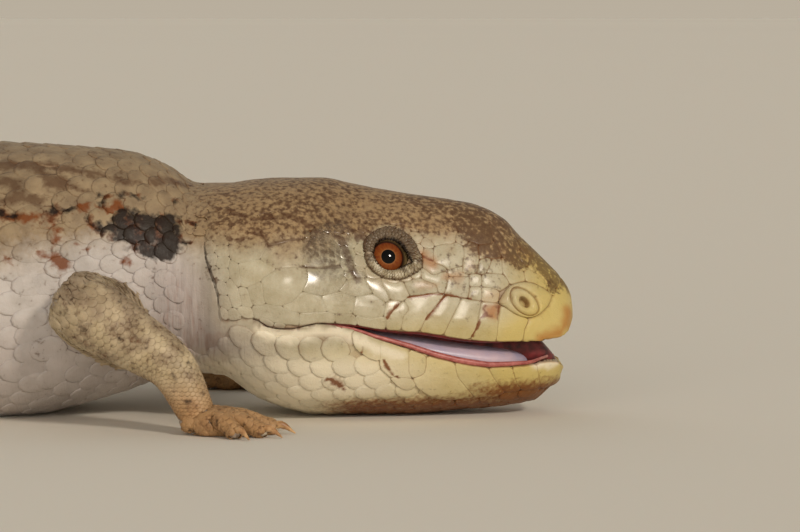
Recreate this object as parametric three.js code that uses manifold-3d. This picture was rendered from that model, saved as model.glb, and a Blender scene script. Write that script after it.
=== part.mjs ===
// Blue tongued skink at life size, lying on its belly with the mouth a little open.
// Millimetres, +Z up. The snout points along +X, the floor is z = 0, and the origin is
// the middle of the belly flat. Lengths along the body are counted from the snout tip.
import * as THREE from 'three';
import { mergeVertices } from 'three/addons/utils/BufferGeometryUtils.js';
import Module from 'manifold-3d';

const wasm = await Module();
wasm.setup();

// Driving dimensions
const gap = 0.3;
const totalLength = 488;
const headEnd = 64;
const neckEnd = 72;
const torsoCuts = [150, 235];
const vent = 318;
const tailCuts = [374, 430];
const bellyMiddle = 192;
const [trunkSides, trunkRings] = [32, 42];

// The plan view of the backbone: each turn bends the way to the tail, + to the left side.
const turns = [
  { from: 66, to: 112, degrees: 26 },
  { from: 140, to: 275, degrees: -36 },
  { from: 330, to: 470, degrees: -34 },
];

// Outlines of the body as [distance from the snout, value]
const topLine = smoothLine([
  [0, 15.2], [0.5, 19.4], [2, 22.1], [4.6, 24.9], [9.4, 29.6], [11.6, 31.9], [16.5, 34.3],
  [28.6, 36.2], [35, 37.4], [42, 38.7], [50, 38.6], [58, 37.8], [64, 37.5], [75, 39.2],
  [96, 43], [120, 45.5], [150, 48], [200, 49], [250, 47], [285, 42], [305, 37.5], [322, 33.5],
  [345, 29.5], [380, 24], [430, 15.6], [470, 7.6], [488, 2.2],
]);
const bottomLine = smoothLine([
  [0, 13], [0.5, 10.5], [1.6, 8], [2.2, 5.6], [4, 3.9], [6.8, 2], [13, 1], [20, 0.5], [28, -0.15],
  [42, -0.15], [47.6, 1.1], [52.2, 2.9], [58, 6.6], [64, 6.8], [74, 3.6], [88, -0.2], [96, -0.9],
  [200, -1], [285, -0.8], [300, 0], [318, 1.2], [334, 0.4], [350, -0.4], [430, -0.4], [488, -0.2],
]);
const halfWidth = smoothLine([
  [0, 0.2], [0.6, 3.6], [2, 5.8], [4.6, 7.8], [9.4, 10.2], [16.5, 12.8], [28.6, 16.1], [35, 17.9],
  [42, 20.3], [49, 21.9], [55, 22], [58, 21.3], [61, 19.4], [66, 18.7], [75, 20.2], [90, 24.6],
  [115, 29.5], [150, 33], [200, 34.5], [250, 32], [285, 27], [305, 22.8], [322, 19.3], [345, 16],
  [380, 12.8], [430, 8.2], [470, 3.9], [488, 0.2],
]);
const widestLevel = smoothLine([
  [0, 14], [5, 12.2], [16, 12.6], [28, 13.6], [42, 15.2], [52, 17.2], [64, 19], [96, 19], [200, 20],
  [285, 17.5], [322, 15.5], [380, 11.5], [430, 7.2], [488, 1.4],
]);
const upperPower = smoothLine([[0, 2], [8, 2.2], [16, 2.6], [40, 2.5], [64, 2.3], [488, 2.1]]);
const lowerPower = smoothLine([[0, 2], [20, 2.3], [60, 2.3], [110, 2.7], [285, 2.6], [350, 2.1], [488, 2]]);
const crownTaper = smoothLine([[0, 0.1], [14, 0.26], [34, 0.25], [50, 0.12], [70, 0.04], [488, 0]]);

// The line of the mouth, seen from the side
const upperLip = smoothLine([
  [-4, 12.9], [1.7, 12.9], [6, 12.5], [12.5, 12.6], [17.6, 13.1], [25.5, 14.5], [31, 15], [36, 15.9],
  [41.7, 16.4], [46.3, 15.7], [49, 15.9], [52, 17.3], [58, 16.6], [66, 15],
]);
const lowerLip = smoothLine([
  [-4, 9.3], [3.7, 9.1], [8.2, 8.5], [13.2, 8.4], [17.6, 9], [22.1, 10.1], [26.8, 11.7], [32.3, 13.6],
  [37, 15.5], [41, 16.2], [66, 16.2],
]);
const mouth = { from: 5, to: 43, palateRise: 3, floorDrop: 3.4, cheek: 2.6 };
const tongue = { from: 7.4, to: 41, front: 12.6, back: 15.4, sideRoom: 3.4 };

// Swellings and hollows of the head, as gaussian bumps on both of its sides
const headForms = [
  { name: 'brow', at: 29, level: 31.6, reach: 7, tall: 3.2, height: 0.9 },
  { name: 'jaw muscle', at: 50, level: 20, reach: 8, tall: 9, height: 0.7 },
  { name: 'nose', at: 8.4, level: 18.8, reach: 3.4, tall: 3.4, height: 0.6 },
  { name: 'lore', at: 17.5, level: 23, reach: 4.5, tall: 4, height: -0.5 },
  { name: 'eye bed', at: 30.6, level: 26.6, reach: 4.2, tall: 3.4, height: -0.5 },
];
const lipSwell = { tall: 2, above: 2.2, height: 0.45 };

// Eyes, lids, nostrils and ears, each on both sides of the head
const eye = { at: 30.6, level: 26.8, radius: 4.6, depth: 3.5 };
const lid = { halfLong: 4.9, halfTall: 3.3, thick: 0.95, lift: 0.3 };
const nostril = { at: 8.4, level: 18.7, radius: 0.85 };
const ear = { at: 59, level: 23.6, halfWide: 1.2, halfDeep: 3.2, halfTall: 4.4, leanDegrees: 16 };

// Legs. Joints are [forward, outward, height] from the backbone at the leg's station.
const foreFoot = { palm: [5, 4.4, 2.3], toes: [5.2, 7, 7.8, 7.2, 5], toeThick: 1.05, clawLong: 3.4 };
const hindFoot = { palm: [6.2, 4.8, 2.5], toes: [5.4, 7.4, 9.2, 10, 6.2], toeThick: 1.1, clawLong: 3.4 };
const legs = [
  {
    side: 'right', names: ['upper_arm', 'forearm', 'forefoot'], station: 78,
    joints: [[6, 11, 14.5], [0.8, 29, 20], [16.4, 31, 10.8], [20.6, 31.6, 2]],
    upperRadii: [6.8, 5.2], lowerRadii: [5.2, 4.9, 3.5], foot: foreFoot, pointing: -4, spread: 24,
  },
  {
    side: 'left', names: ['upper_arm', 'forearm', 'forefoot'], station: 78,
    joints: [[6, 11, 14.5], [-5, 28, 16.5], [10, 35.5, 9], [14.5, 38, 2]],
    upperRadii: [6.8, 5.2], lowerRadii: [5.2, 4.9, 3.5], foot: foreFoot, pointing: 26, spread: 24,
  },
  {
    side: 'right', names: ['thigh', 'shank', 'hindfoot'], station: 299,
    joints: [[1, 9, 15.5], [17, 35, 14.5], [0, 46, 7.4], [4.5, 50, 2.2]],
    upperRadii: [9.5, 6.9], lowerRadii: [6.9, 6, 3.9], foot: hindFoot, pointing: 44, spread: 22,
  },
  {
    side: 'left', names: ['thigh', 'shank', 'hindfoot'], station: 299,
    joints: [[1, 9, 15.5], [10, 36, 14.5], [-10, 43, 7.4], [-9, 49, 2.2]],
    upperRadii: [9.5, 6.9], lowerRadii: [6.9, 6, 3.9], foot: hindFoot, pointing: 82, spread: 22,
  },
];

const finishes = {
  head: { color: '#b3a67f', roughness: 0.45 },
  jaw: { color: '#cdbf8e', roughness: 0.5 },
  trunk: { color: '#b4a695', roughness: 0.5 },
  limb: { color: '#8d7d5e', roughness: 0.5 },
  foot: { color: '#b48a5a', roughness: 0.5 },
  tongue: { color: '#8e93c4', roughness: 0.3 },
  eye: { color: '#8a3f22', roughness: 0.08 },
};

// A smooth line through knots, with no overshoot between them
function smoothLine(knots) {
  const last = knots.length - 1;
  const slope = (i) => (knots[i + 1][1] - knots[i][1]) / (knots[i + 1][0] - knots[i][0]);
  const tangent = (i) => {
    if (i === 0) return slope(0);
    if (i === last) return slope(last - 1);
    const before = slope(i - 1);
    const after = slope(i);
    return before * after <= 0 ? 0 : (2 * before * after) / (before + after);
  };
  return (place) => {
    const x = THREE.MathUtils.clamp(place, knots[0][0], knots[last][0]);
    let i = 0;
    while (i < last - 1 && x > knots[i + 1][0]) i += 1;
    const width = knots[i + 1][0] - knots[i][0];
    const t = (x - knots[i][0]) / width;
    const rise = t * t * (3 - 2 * t);
    const bendIn = t * (1 - t) * (1 - t) * width * tangent(i);
    const bendOut = t * t * (1 - t) * width * tangent(i + 1);
    return knots[i][1] * (1 - rise) + knots[i + 1][1] * rise + bendIn - bendOut;
  };
}

// Backbone in plan: the place and the two directions at a distance from the snout
function heading(distance) {
  return turns.reduce((sum, turn) => {
    const share = THREE.MathUtils.smoothstep(distance, turn.from, turn.to);
    return sum + THREE.MathUtils.degToRad(turn.degrees) * share;
  }, 0);
}

const backbone = layBackbone();

function layBackbone() {
  const places = [new THREE.Vector3()];
  for (let millimetre = 0; millimetre < totalLength; millimetre += 1) {
    const angle = heading(millimetre + 0.5);
    const step = new THREE.Vector3(-Math.cos(angle), Math.sin(angle), 0);
    places.push(places[millimetre].clone().add(step));
  }
  const origin = places[bellyMiddle].clone();
  return places.map((place) => place.sub(origin));
}

function spine(distance) {
  const whole = THREE.MathUtils.clamp(Math.floor(distance), 0, totalLength - 1);
  const place = backbone[whole].clone().lerp(backbone[whole + 1], distance - whole);
  const angle = heading(distance);
  return {
    place,
    tailward: new THREE.Vector3(-Math.cos(angle), Math.sin(angle), 0),
    right: new THREE.Vector3(-Math.sin(angle), -Math.cos(angle), 0),
  };
}

// How far the side of the head stands out from its plain section
function headRelief(distance, level) {
  const bumps = headForms.reduce((sum, form) => {
    const along = (distance - form.at) / form.reach;
    const up = (level - form.level) / form.tall;
    return sum + form.height * Math.exp(-along * along - up * up);
  }, 0);
  const aboveLip = (level - upperLip(distance) - lipSwell.above) / lipSwell.tall;
  const lipShare = 1 - THREE.MathUtils.smoothstep(distance, 36, 46);
  return bumps + lipSwell.height * lipShare * Math.exp(-aboveLip * aboveLip);
}

// Half width of the section and its height, at an angle counted from the top of the back
function section(distance, angle, grow = 0) {
  const rise = Math.cos(angle);
  const out = Math.abs(Math.sin(angle));
  const power = rise > 0 ? upperPower(distance) : lowerPower(distance);
  const widest = widestLevel(distance);
  const vertical = Math.pow(Math.abs(rise), 2 / power);
  const reach = rise > 0 ? topLine(distance) - widest + grow : widest - bottomLine(distance) + grow;
  const level = widest + Math.sign(rise) * reach * vertical;
  const taper = rise > 0 ? 1 - crownTaper(distance) * vertical * vertical : 1;
  const plain = (halfWidth(distance) + grow) * Math.pow(out, 2 / power) * taper;
  return { aside: plain + headRelief(distance, level) * out, level };
}

function bodyPoint(distance, angle, grow = 0) {
  const { place, right } = spine(distance);
  const { aside, level } = section(distance, angle, grow);
  return place.clone().addScaledVector(right, Math.sign(Math.sin(angle)) * aside).setZ(level);
}

// Closed meshes and their joins
function closedMesh(geometry) {
  geometry.deleteAttribute('normal');
  geometry.deleteAttribute('uv');
  return mergeVertices(geometry, 1e-4);
}

function solid(geometry) {
  const merged = closedMesh(geometry);
  const mesh = new wasm.Mesh({
    numProp: 3,
    vertProperties: new Float32Array(merged.attributes.position.array),
    triVerts: new Uint32Array(merged.index.array),
  });
  return new wasm.Manifold(mesh);
}

function geometryOf(body) {
  const mesh = body.getMesh();
  const geometry = new THREE.BufferGeometry();
  geometry.setAttribute('position', new THREE.Float32BufferAttribute(mesh.vertProperties, 3));
  geometry.setIndex(new THREE.Uint32BufferAttribute(mesh.triVerts, 1));
  geometry.computeVertexNormals();
  return geometry;
}

function largest(body) {
  return body.decompose().reduce((a, b) => (a.volume() > b.volume() ? a : b));
}

function joined(bodies) {
  return bodies.reduce((sum, body) => sum.add(body));
}

function rested(body) {
  return body.trimByPlane([0, 0, 1], 0);
}

// A sphere whose rings are slid along a way: place(share, around) gives each point.
// The share runs from 0 at the first pole to 1 at the last one.
function wrapped(around, rings, place) {
  const geometry = new THREE.SphereGeometry(1, around, rings);
  const position = geometry.attributes.position;
  for (let i = 0; i < position.count; i += 1) {
    const ring = Math.floor(i / (around + 1));
    const column = (i % (around + 1)) % around;
    const point = place(ring / rings, (column / around) * 2 * Math.PI);
    position.setXYZ(i, point.x, point.y, point.z);
  }
  const body = solid(geometry);
  return body.volume() < 0 ? solid(turnedOut(geometry)) : body;
}

function turnedOut(geometry) {
  const index = geometry.index;
  for (let i = 0; i < index.count; i += 3) {
    const kept = index.getX(i);
    index.setX(i, index.getX(i + 1));
    index.setX(i + 1, kept);
  }
  return geometry;
}

// A tapered round limb along points, with round ends
function limb(points, radii, around, rings, grow = 0) {
  const curve = new THREE.CatmullRomCurve3(points.map((p) => new THREE.Vector3(...p)));
  const last = radii.length - 1;
  const capShare = 0.22;
  const radiusAt = (t) => {
    const i = Math.min(Math.floor(t * last), last - 1);
    return THREE.MathUtils.lerp(radii[i], radii[i + 1], t * last - i) + grow;
  };
  return wrapped(around, rings, (share, angle) => {
    const t = THREE.MathUtils.clamp((share - capShare) / (1 - 2 * capShare), 0, 1);
    const endShare = Math.min(share, 1 - share) / capShare;
    const cap = Math.min(endShare, 1) * (Math.PI / 2);
    const radius = radiusAt(t);
    const tangent = curve.getTangent(t);
    const level = new THREE.Vector3().crossVectors(tangent, new THREE.Vector3(0, 0, 1)).normalize();
    const upright = new THREE.Vector3().crossVectors(level, tangent);
    const overhang = (share < 0.5 ? -1 : 1) * Math.cos(cap) * radius;
    return curve.getPoint(t)
      .addScaledVector(tangent, overhang)
      .addScaledVector(level, Math.cos(angle) * Math.sin(cap) * radius)
      .addScaledVector(upright, Math.sin(angle) * Math.sin(cap) * radius);
  });
}

function ellipsoid(centre, halfSizes, around, rings, turn = new THREE.Euler()) {
  return wrapped(around, rings, (share, angle) => {
    const latitude = share * Math.PI;
    const out = Math.sin(latitude);
    return new THREE.Vector3(out * Math.cos(angle), out * Math.sin(angle), Math.cos(latitude))
      .multiply(new THREE.Vector3(...halfSizes))
      .applyEuler(turn)
      .add(centre);
  });
}

// The body as one tube between two distances, folded to a point at each end
function bodyTube(from, to, around, rings, grow = 0) {
  const crowding = from === 0 ? 1.5 : 1;
  return wrapped(around, rings, (share, angle) => {
    const distance = THREE.MathUtils.lerp(from, to, Math.pow(share, crowding));
    const atEnd = share === 0 || share === 1;
    return atEnd ? spine(distance).place.setZ(widestLevel(distance)) : bodyPoint(distance, angle, grow);
  });
}

// What lies between two distances, less half a gap at each cut
function length(tube, from, to) {
  const start = spine(from);
  const end = spine(to);
  const first = start.place.dot(start.tailward) + gap / 2;
  const second = end.place.dot(end.tailward) - gap / 2;
  return tube
    .trimByPlane(start.tailward.toArray(), first)
    .trimByPlane(end.tailward.clone().negate().toArray(), -second);
}

// A place on the side of the head at a height, with the way the skin faces there
function headSide(distance, level, side) {
  let [high, low] = [0.02, Math.PI / 2];
  if (section(distance, low).level > level) [high, low] = [low, Math.PI - 0.02];
  for (let step = 0; step < 30; step += 1) {
    const middle = (high + low) / 2;
    if (section(distance, middle).level > level) high = middle;
    else low = middle;
  }
  const angle = high * side;
  const point = bodyPoint(distance, angle);
  const alongSkin = bodyPoint(distance + 0.5, angle).sub(point);
  const aroundSkin = bodyPoint(distance, angle + 0.02 * side).sub(point);
  const outward = alongSkin.cross(aroundSkin).normalize();
  return { point, outward: outward.y * side > 0 ? outward.negate() : outward };
}

// Eyelids: one rounded almond ring, laid on the side of the head
function lidRing(side) {
  const [sides, lengths] = [6, 18];
  const geometry = new THREE.TorusGeometry(1, 0.2, sides, lengths);
  const position = geometry.attributes.position;
  for (let i = 0; i < position.count; i += 1) {
    const turn = ((Math.floor(i / (lengths + 1)) % sides) / sides) * 2 * Math.PI;
    const round = (((i % (lengths + 1)) % lengths) / lengths) * 2 * Math.PI;
    const swell = 1 + (lid.thick / lid.halfTall) * Math.cos(turn);
    const along = lid.halfLong * Math.cos(round) * swell;
    const up = lid.halfTall * Math.sin(round) * swell * (1 - 0.15 * Math.cos(round) ** 2);
    const { point, outward } = headSide(eye.at - along, eye.level + up, side);
    point.addScaledVector(outward, lid.lift + lid.thick * Math.sin(turn));
    position.setXYZ(i, point.x, point.y, point.z);
  }
  const body = solid(geometry);
  return body.volume() < 0 ? solid(turnedOut(geometry)) : body;
}

function eyeBall(side, grow = 0) {
  const { point, outward } = headSide(eye.at, eye.level, side);
  const centre = point.addScaledVector(outward, -eye.depth);
  const radius = eye.radius + grow;
  return ellipsoid(centre, [radius, radius, radius], 14, 8);
}

function nostrilPit(side) {
  const { point } = headSide(nostril.at, nostril.level, side);
  return ellipsoid(point, [nostril.radius, nostril.radius, nostril.radius], 8, 6);
}

function earCup(side) {
  const { point } = headSide(ear.at, ear.level, side);
  const lean = new THREE.Euler(0, -THREE.MathUtils.degToRad(ear.leanDegrees), 0);
  return ellipsoid(point, [ear.halfWide, ear.halfDeep, ear.halfTall], 10, 8, lean);
}

// Lower edge of the mouth opening; behind the corner only the thin parting is left
function lowerEdge(distance) {
  const closed = upperLip(distance) - gap;
  return distance > 41 ? closed : Math.min(lowerLip(distance), closed);
}

function mouthOpening() {
  const snout = spine(0).place;
  const upperEdge = [];
  const under = [];
  for (let distance = -4; distance <= headEnd + 4; distance += 2.5) {
    upperEdge.push(new THREE.Vector2(snout.x - distance, upperLip(distance)));
    under.unshift(new THREE.Vector2(snout.x - distance, lowerEdge(distance)));
  }
  const wide = 60;
  const outline = new THREE.Shape([...upperEdge, ...under]);
  const geometry = new THREE.ExtrudeGeometry(outline, { depth: wide, bevelEnabled: false, steps: 1 });
  geometry.rotateX(Math.PI / 2);
  geometry.translate(0, snout.y + wide / 2, 0);
  return solid(geometry);
}

// A rounded hollow or filling inside the mouth
function mouthLens(from, to, sideRoom, top, low, rings) {
  return wrapped(14, rings, (share, angle) => {
    const distance = THREE.MathUtils.lerp(from, to, share);
    const round = Math.sqrt(Math.max(0, 1 - Math.pow(2 * share - 1, 4)));
    const { place, right } = spine(distance);
    const middle = (top(distance) + low(distance)) / 2;
    const reach = (top(distance) - low(distance)) / 2;
    return place
      .addScaledVector(right, Math.sin(angle) * (halfWidth(distance) - sideRoom) * round)
      .setZ(middle + Math.cos(angle) * reach * round);
  });
}

function mouthHollow(grow) {
  return mouthLens(
    mouth.from - grow, mouth.to + grow, mouth.cheek - grow,
    (distance) => upperLip(distance) + mouth.palateRise + grow,
    (distance) => lowerEdge(distance) - mouth.floorDrop - grow, 12,
  );
}

function tongueBody() {
  const rise = (tongue.back - tongue.front) / (tongue.to - tongue.from);
  const whole = mouthLens(
    tongue.from, tongue.to, tongue.sideRoom,
    (distance) => tongue.front + rise * (distance - tongue.from),
    (distance) => lowerEdge(distance) - mouth.floorDrop, 12,
  );
  return whole.intersect(mouthHollow(-gap));
}

// Legs
function legFrame(leg) {
  const { place, tailward, right } = spine(leg.station);
  const outward = right.clone().multiplyScalar(leg.side === 'right' ? 1 : -1);
  const forward = tailward.clone().negate();
  const at = ([ahead, out, height]) => place.clone()
    .addScaledVector(forward, ahead)
    .addScaledVector(outward, out)
    .setZ(height);
  return { forward, outward, at };
}

function toe(palm, way, reach, long, thick) {
  const up = (step, height) => palm.clone().addScaledVector(way, step).setZ(height).toArray();
  const tip = reach + long;
  return limb(
    [up(reach * 0.3, 2.2), up(reach + long * 0.45, 2.5), up(tip, thick * 0.88)],
    [thick * 1.1, thick, thick * 0.85], 6, 5,
  );
}

function claw(palm, way, tip, long) {
  const up = (step, height) => palm.clone().addScaledVector(way, tip + step).setZ(height).toArray();
  return limb([up(-1, 1.1), up(long * 0.35, 1.55), up(long, 0.3)], [0.75, 0.55, 0.12], 4, 4);
}

function footOf(leg, wrist, palm, frame) {
  const { foot } = leg;
  const turn = Math.atan2(frame.forward.y, frame.forward.x);
  const pointing = THREE.MathUtils.degToRad(leg.pointing) * (leg.side === 'right' ? -1 : 1);
  const sole = ellipsoid(palm, foot.palm, 10, 6, new THREE.Euler(0, 0, turn + pointing));
  const pieces = [sole, limb([wrist.toArray(), palm.toArray()], [leg.lowerRadii[2], 2.2], 8, 6)];
  foot.toes.forEach((long, i) => {
    const angle = THREE.MathUtils.degToRad(leg.pointing + (i - 2) * leg.spread);
    const way = frame.forward.clone().multiplyScalar(Math.cos(angle))
      .addScaledVector(frame.outward, Math.sin(angle));
    const reach = foot.palm[0] * 0.72;
    pieces.push(toe(palm, way, reach, long, foot.toeThick));
    pieces.push(claw(palm, way, reach + long, foot.clawLong));
  });
  return joined(pieces);
}

function legBodies(leg, trunk) {
  const frame = legFrame(leg);
  const [root, bend, wrist, palm] = leg.joints.map(frame.at);
  const upper = (grow) => limb([root.toArray(), bend.toArray()], leg.upperRadii, 12, 10, grow);
  const lower = (grow) => limb([bend.toArray(), wrist.toArray()], leg.lowerRadii, 12, 10, grow);
  return [
    upper(0).subtract(trunk),
    lower(0).subtract(upper(gap)).subtract(trunk),
    footOf(leg, wrist, palm, frame).subtract(lower(gap)),
  ].map((body) => largest(rested(body)));
}

// The whole animal
const skink = new THREE.Group();

function put(name, body, finish) {
  const mesh = new THREE.Mesh(geometryOf(body), new THREE.MeshStandardMaterial(finishes[finish]));
  mesh.name = name;
  skink.add(mesh);
}

function putHead() {
  const sides = [1, -1];
  const whole = length(bodyTube(0, headEnd + 14, 40, 34), -4, headEnd);
  const withLids = joined([whole, ...sides.map(lidRing)]);
  const cuts = [mouthOpening(), mouthHollow(0)];
  sides.forEach((side) => cuts.push(eyeBall(side, gap), nostrilPit(side), earCup(side)));
  const parted = cuts.reduce((body, cut) => body.subtract(cut), withLids).decompose();
  const bySize = parted.sort((a, b) => b.volume() - a.volume());
  put('head', bySize[0], 'head');
  put('lower_jaw', rested(bySize[1]), 'jaw');
  put('tongue', largest(tongueBody()), 'tongue');
  put('eye_right', eyeBall(1), 'eye');
  put('eye_left', eyeBall(-1), 'eye');
}

function putTrunkAndTail() {
  const tube = bodyTube(headEnd - 20, totalLength, trunkSides, trunkRings);
  const lengths = [
    ['neck', headEnd, neckEnd],
    ['torso_front', neckEnd, torsoCuts[0]],
    ['torso_middle', torsoCuts[0], torsoCuts[1]],
    ['torso_rear', torsoCuts[1], vent],
    ['tail_base', vent, tailCuts[0]],
    ['tail_middle', tailCuts[0], tailCuts[1]],
    ['tail_tip', tailCuts[1], totalLength + 4],
  ];
  lengths.forEach(([name, from, to]) => put(name, largest(rested(length(tube, from, to))), 'trunk'));
}

function putLegs() {
  const trunk = bodyTube(headEnd - 20, totalLength, trunkSides, trunkRings, gap);
  legs.forEach((leg) => {
    const bodies = legBodies(leg, trunk);
    bodies.forEach((body, i) => put(`${leg.names[i]}_${leg.side}`, body, i < 2 ? 'limb' : 'foot'));
  });
}

putHead();
putTrunkAndTail();
putLegs();

export default skink;
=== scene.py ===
import math

import bmesh
import bpy
import numpy as np
from mathutils import Matrix, Vector
from mathutils.bvhtree import BVHTree
from mathutils.kdtree import KDTree
from mathutils.geometry import delaunay_2d_cdt


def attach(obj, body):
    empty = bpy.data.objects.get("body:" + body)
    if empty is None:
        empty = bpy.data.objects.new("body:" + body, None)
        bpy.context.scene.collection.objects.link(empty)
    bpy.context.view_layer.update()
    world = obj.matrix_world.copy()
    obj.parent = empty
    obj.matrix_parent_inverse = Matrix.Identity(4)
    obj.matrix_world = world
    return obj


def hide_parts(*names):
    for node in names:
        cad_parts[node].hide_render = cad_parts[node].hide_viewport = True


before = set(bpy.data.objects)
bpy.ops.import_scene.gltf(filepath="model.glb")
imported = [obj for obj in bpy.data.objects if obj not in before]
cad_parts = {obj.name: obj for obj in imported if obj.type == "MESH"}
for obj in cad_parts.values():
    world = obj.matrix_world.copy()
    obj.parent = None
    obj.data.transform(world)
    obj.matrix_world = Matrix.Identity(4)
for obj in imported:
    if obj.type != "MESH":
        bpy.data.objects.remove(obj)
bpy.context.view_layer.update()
print("frame loaded:", len(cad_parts), "nodes")


def pairs(text):
    # a row of "x,y x,y" as pairs of numbers
    return np.array([[float(number) for number in spot.split(",")] for spot in text.split()])


def unit(ways):
    return ways / np.maximum(np.linalg.norm(ways, axis=-1), 1e-9)[..., None]


def gone(points):
    # how far along a line each of its points is
    return np.concatenate([[0], np.cumsum(np.linalg.norm(np.diff(points, axis=0), axis=-1))])


def readLine(places, run, points):
    return np.stack([np.interp(places, run, column) for column in points.T], -1)


# The body's shape, as part.mjs has it
body = {
    "totalLength": 488,
    "bellyMiddle": 192,
    "turns": [(66, 112, 26), (140, 275, -36), (330, 470, -34)],
    "topLine":
        "0,15.2 0.5,19.4 2,22.1 4.6,24.9 9.4,29.6 11.6,31.9 16.5,34.3 28.6,36.2 35,37.4 42,38.7 "
        "50,38.6 58,37.8 62,37.9 66,40.3 68.6,41.7 73.2,43.2 80.8,44 96,44.6 120,46 150,48 200,49 "
        "250,47 285,42 305,37.5 322,33.5 345,29.5 380,24 430,15.6 470,7.6 488,2.2",
    "bottomLine":
        "0,13 0.5,10.5 1.6,8 2.2,5.6 4,3.9 6.8,2 13,1 20,0.5 28,-0.15 42,-0.15 47.6,1.1 52.2,2.9 "
        "58,6.6 64,6.8 74,3.6 88,-0.2 96,-0.9 200,-1 285,-0.8 300,0 318,1.2 334,0.4 350,-0.4 430,-0.4 "
        "488,-0.2",
    "halfWidth":
        "0,0.2 0.6,3.6 2,5.8 4.6,7.8 9.4,10.2 16.5,12.8 28.6,16.1 35,17.9 42,20.3 49,21.9 55,22 "
        "58,21.3 61,19.4 66,18.7 75,20.2 90,24.6 115,29.5 150,33 200,34.5 250,32 285,27 305,22.8 "
        "322,19.3 345,16 380,12.8 430,8.2 470,3.9 488,0.2",
    "widestLevel":
        "0,14 5,12.2 16,12.6 28,13.6 42,15.2 52,17.2 64,19 96,19 200,20 285,17.5 322,15.5 380,11.5 "
        "430,7.2 488,1.4",
    "upperPower": "0,2 8,2.2 16,2.6 40,2.5 64,2.3 488,2.1",
    "lowerPower": "0,2 20,2.3 60,2.3 110,2.7 285,2.6 350,2.1 488,2",
    "crownTaper": "0,0.1 14,0.26 34,0.25 50,0.12 70,0.04 488,0",
    "upperLip":
        "-4,19 0.15,16 0.7,14.2 1.8,13.1 3.6,12.7 6,12.5 12.5,12.6 17.6,13.1 25.5,14.5 31,15 36,15.9 "
        "41.7,16.4 46.3,15.7 49,15.9 52,17.3 58,16.6 66,15",
    "lowerLip":
        "-4,5 1.1,6.9 1.8,8 3,8.9 4.4,9 8.2,8.5 13.2,8.4 17.6,9 22.1,10.1 26.8,11.7 32.3,13.6 37,15.5 "
        "41,16.2 66,16.2",
    # swellings on both sides of the head: at, level, reach, tall, height
    "forms": [
        (29, 31.6, 7, 3.2, 0.9), (50, 20, 8, 9, 0.7), (8.4, 18.8, 3.4, 3.4, 0.6),
        (17.5, 23, 4.5, 4, -0.5), (30.6, 26.6, 4.2, 3.4, -0.5)],
    "lipSwell": {"tall": 2, "above": 2.2, "height": 0.45, "fade": (36, 46)},
    # fine upright folds of loose skin behind the ear
    "neckFolds": {"middle": 65.5, "reach": 5, "level": 16, "tall": 12, "height": 0.2, "spacing": 1.5},
}


def smoothLine(text):
    at, value = pairs(text).T
    step = np.diff(at)
    slope = np.diff(value) / step
    tangent = np.concatenate([slope[:1], slope[1:], slope[-1:]])
    before, after = slope[:-1], slope[1:]
    turns = before * after > 0
    tangent[1:-1] = np.where(turns, 2 * before * after / np.where(turns, before + after, 1), 0)

    def line(place):
        x = np.clip(place, at[0], at[-1])
        i = np.clip(np.searchsorted(at, x, side="left") - 1, 0, len(step) - 1)
        t = (x - at[i]) / step[i]
        rise = t * t * (3 - 2 * t)
        bends = t * (1 - t) ** 2 * tangent[i] - t * t * (1 - t) * tangent[i + 1]
        return value[i] * (1 - rise) + value[i + 1] * rise + bends * step[i]

    return line


line = {name: smoothLine(text) for name, text in body.items() if isinstance(text, str)}


def smoothstep(value, low, high):
    t = np.clip((value - low) / (high - low), 0, 1)
    return t * t * (3 - 2 * t)


def bell(value, middle, reach):
    return np.exp(-((value - middle) / reach) ** 2)


def heading(distance):
    turned = [math.radians(degrees) * smoothstep(distance, start, end)
              for start, end, degrees in body["turns"]]
    return sum(turned)


def layBackbone():
    angle = heading(np.arange(body["totalLength"]) + 0.5)
    steps = np.stack([-np.cos(angle), np.sin(angle), 0 * angle], -1)
    places = np.concatenate([np.zeros((1, 3)), np.cumsum(steps, 0)])
    return places - places[body["bellyMiddle"]]


backbone = layBackbone()


def spine(distance):
    distance = np.asarray(distance, float)
    whole = np.clip(np.floor(distance), 0, body["totalLength"] - 1).astype(int)
    share = (distance - whole)[..., None]
    angle = heading(distance)
    place = backbone[whole] * (1 - share) + backbone[whole + 1] * share
    tailward = np.stack([-np.cos(angle), np.sin(angle), 0 * angle], -1)
    right = np.stack([-np.sin(angle), -np.cos(angle), 0 * angle], -1)
    return place, tailward, right


snoutPlace = backbone[0]


def headRelief(distance, level):
    relief = 0 * (distance + level)
    for at, high, reach, tall, height in body["forms"]:
        relief = relief + height * bell(distance, at, reach) * bell(level, high, tall)
    swell = body["lipSwell"]
    share = swell["height"] * (1 - smoothstep(distance, *swell["fade"]))
    relief = relief + share * bell(level - line["upperLip"](distance), swell["above"], swell["tall"])
    folds = body["neckFolds"]
    wave = np.sin(2 * math.pi * distance / folds["spacing"] + 1.3 * np.sin(level / 3.1))
    share = bell(distance, folds["middle"], folds["reach"]) * bell(level, folds["level"], folds["tall"])
    return relief + folds["height"] * share * wave


def section(distance, angle):
    # how far out and how high the skin is, at an angle from the top of the back
    rise, out = np.cos(angle), np.abs(np.sin(angle))
    above = rise > 0
    power = np.where(above, line["upperPower"](distance), line["lowerPower"](distance))
    widest = line["widestLevel"](distance)
    vertical = np.abs(rise) ** (2 / power)
    reach = np.where(above, line["topLine"](distance) - widest, widest - line["bottomLine"](distance))
    level = widest + np.sign(rise) * reach * vertical
    taper = np.where(above, 1 - line["crownTaper"](distance) * vertical ** 2, 1)
    plain = line["halfWidth"](distance) * out ** (2 / power) * taper
    return plain + headRelief(distance, level) * out, level


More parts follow.
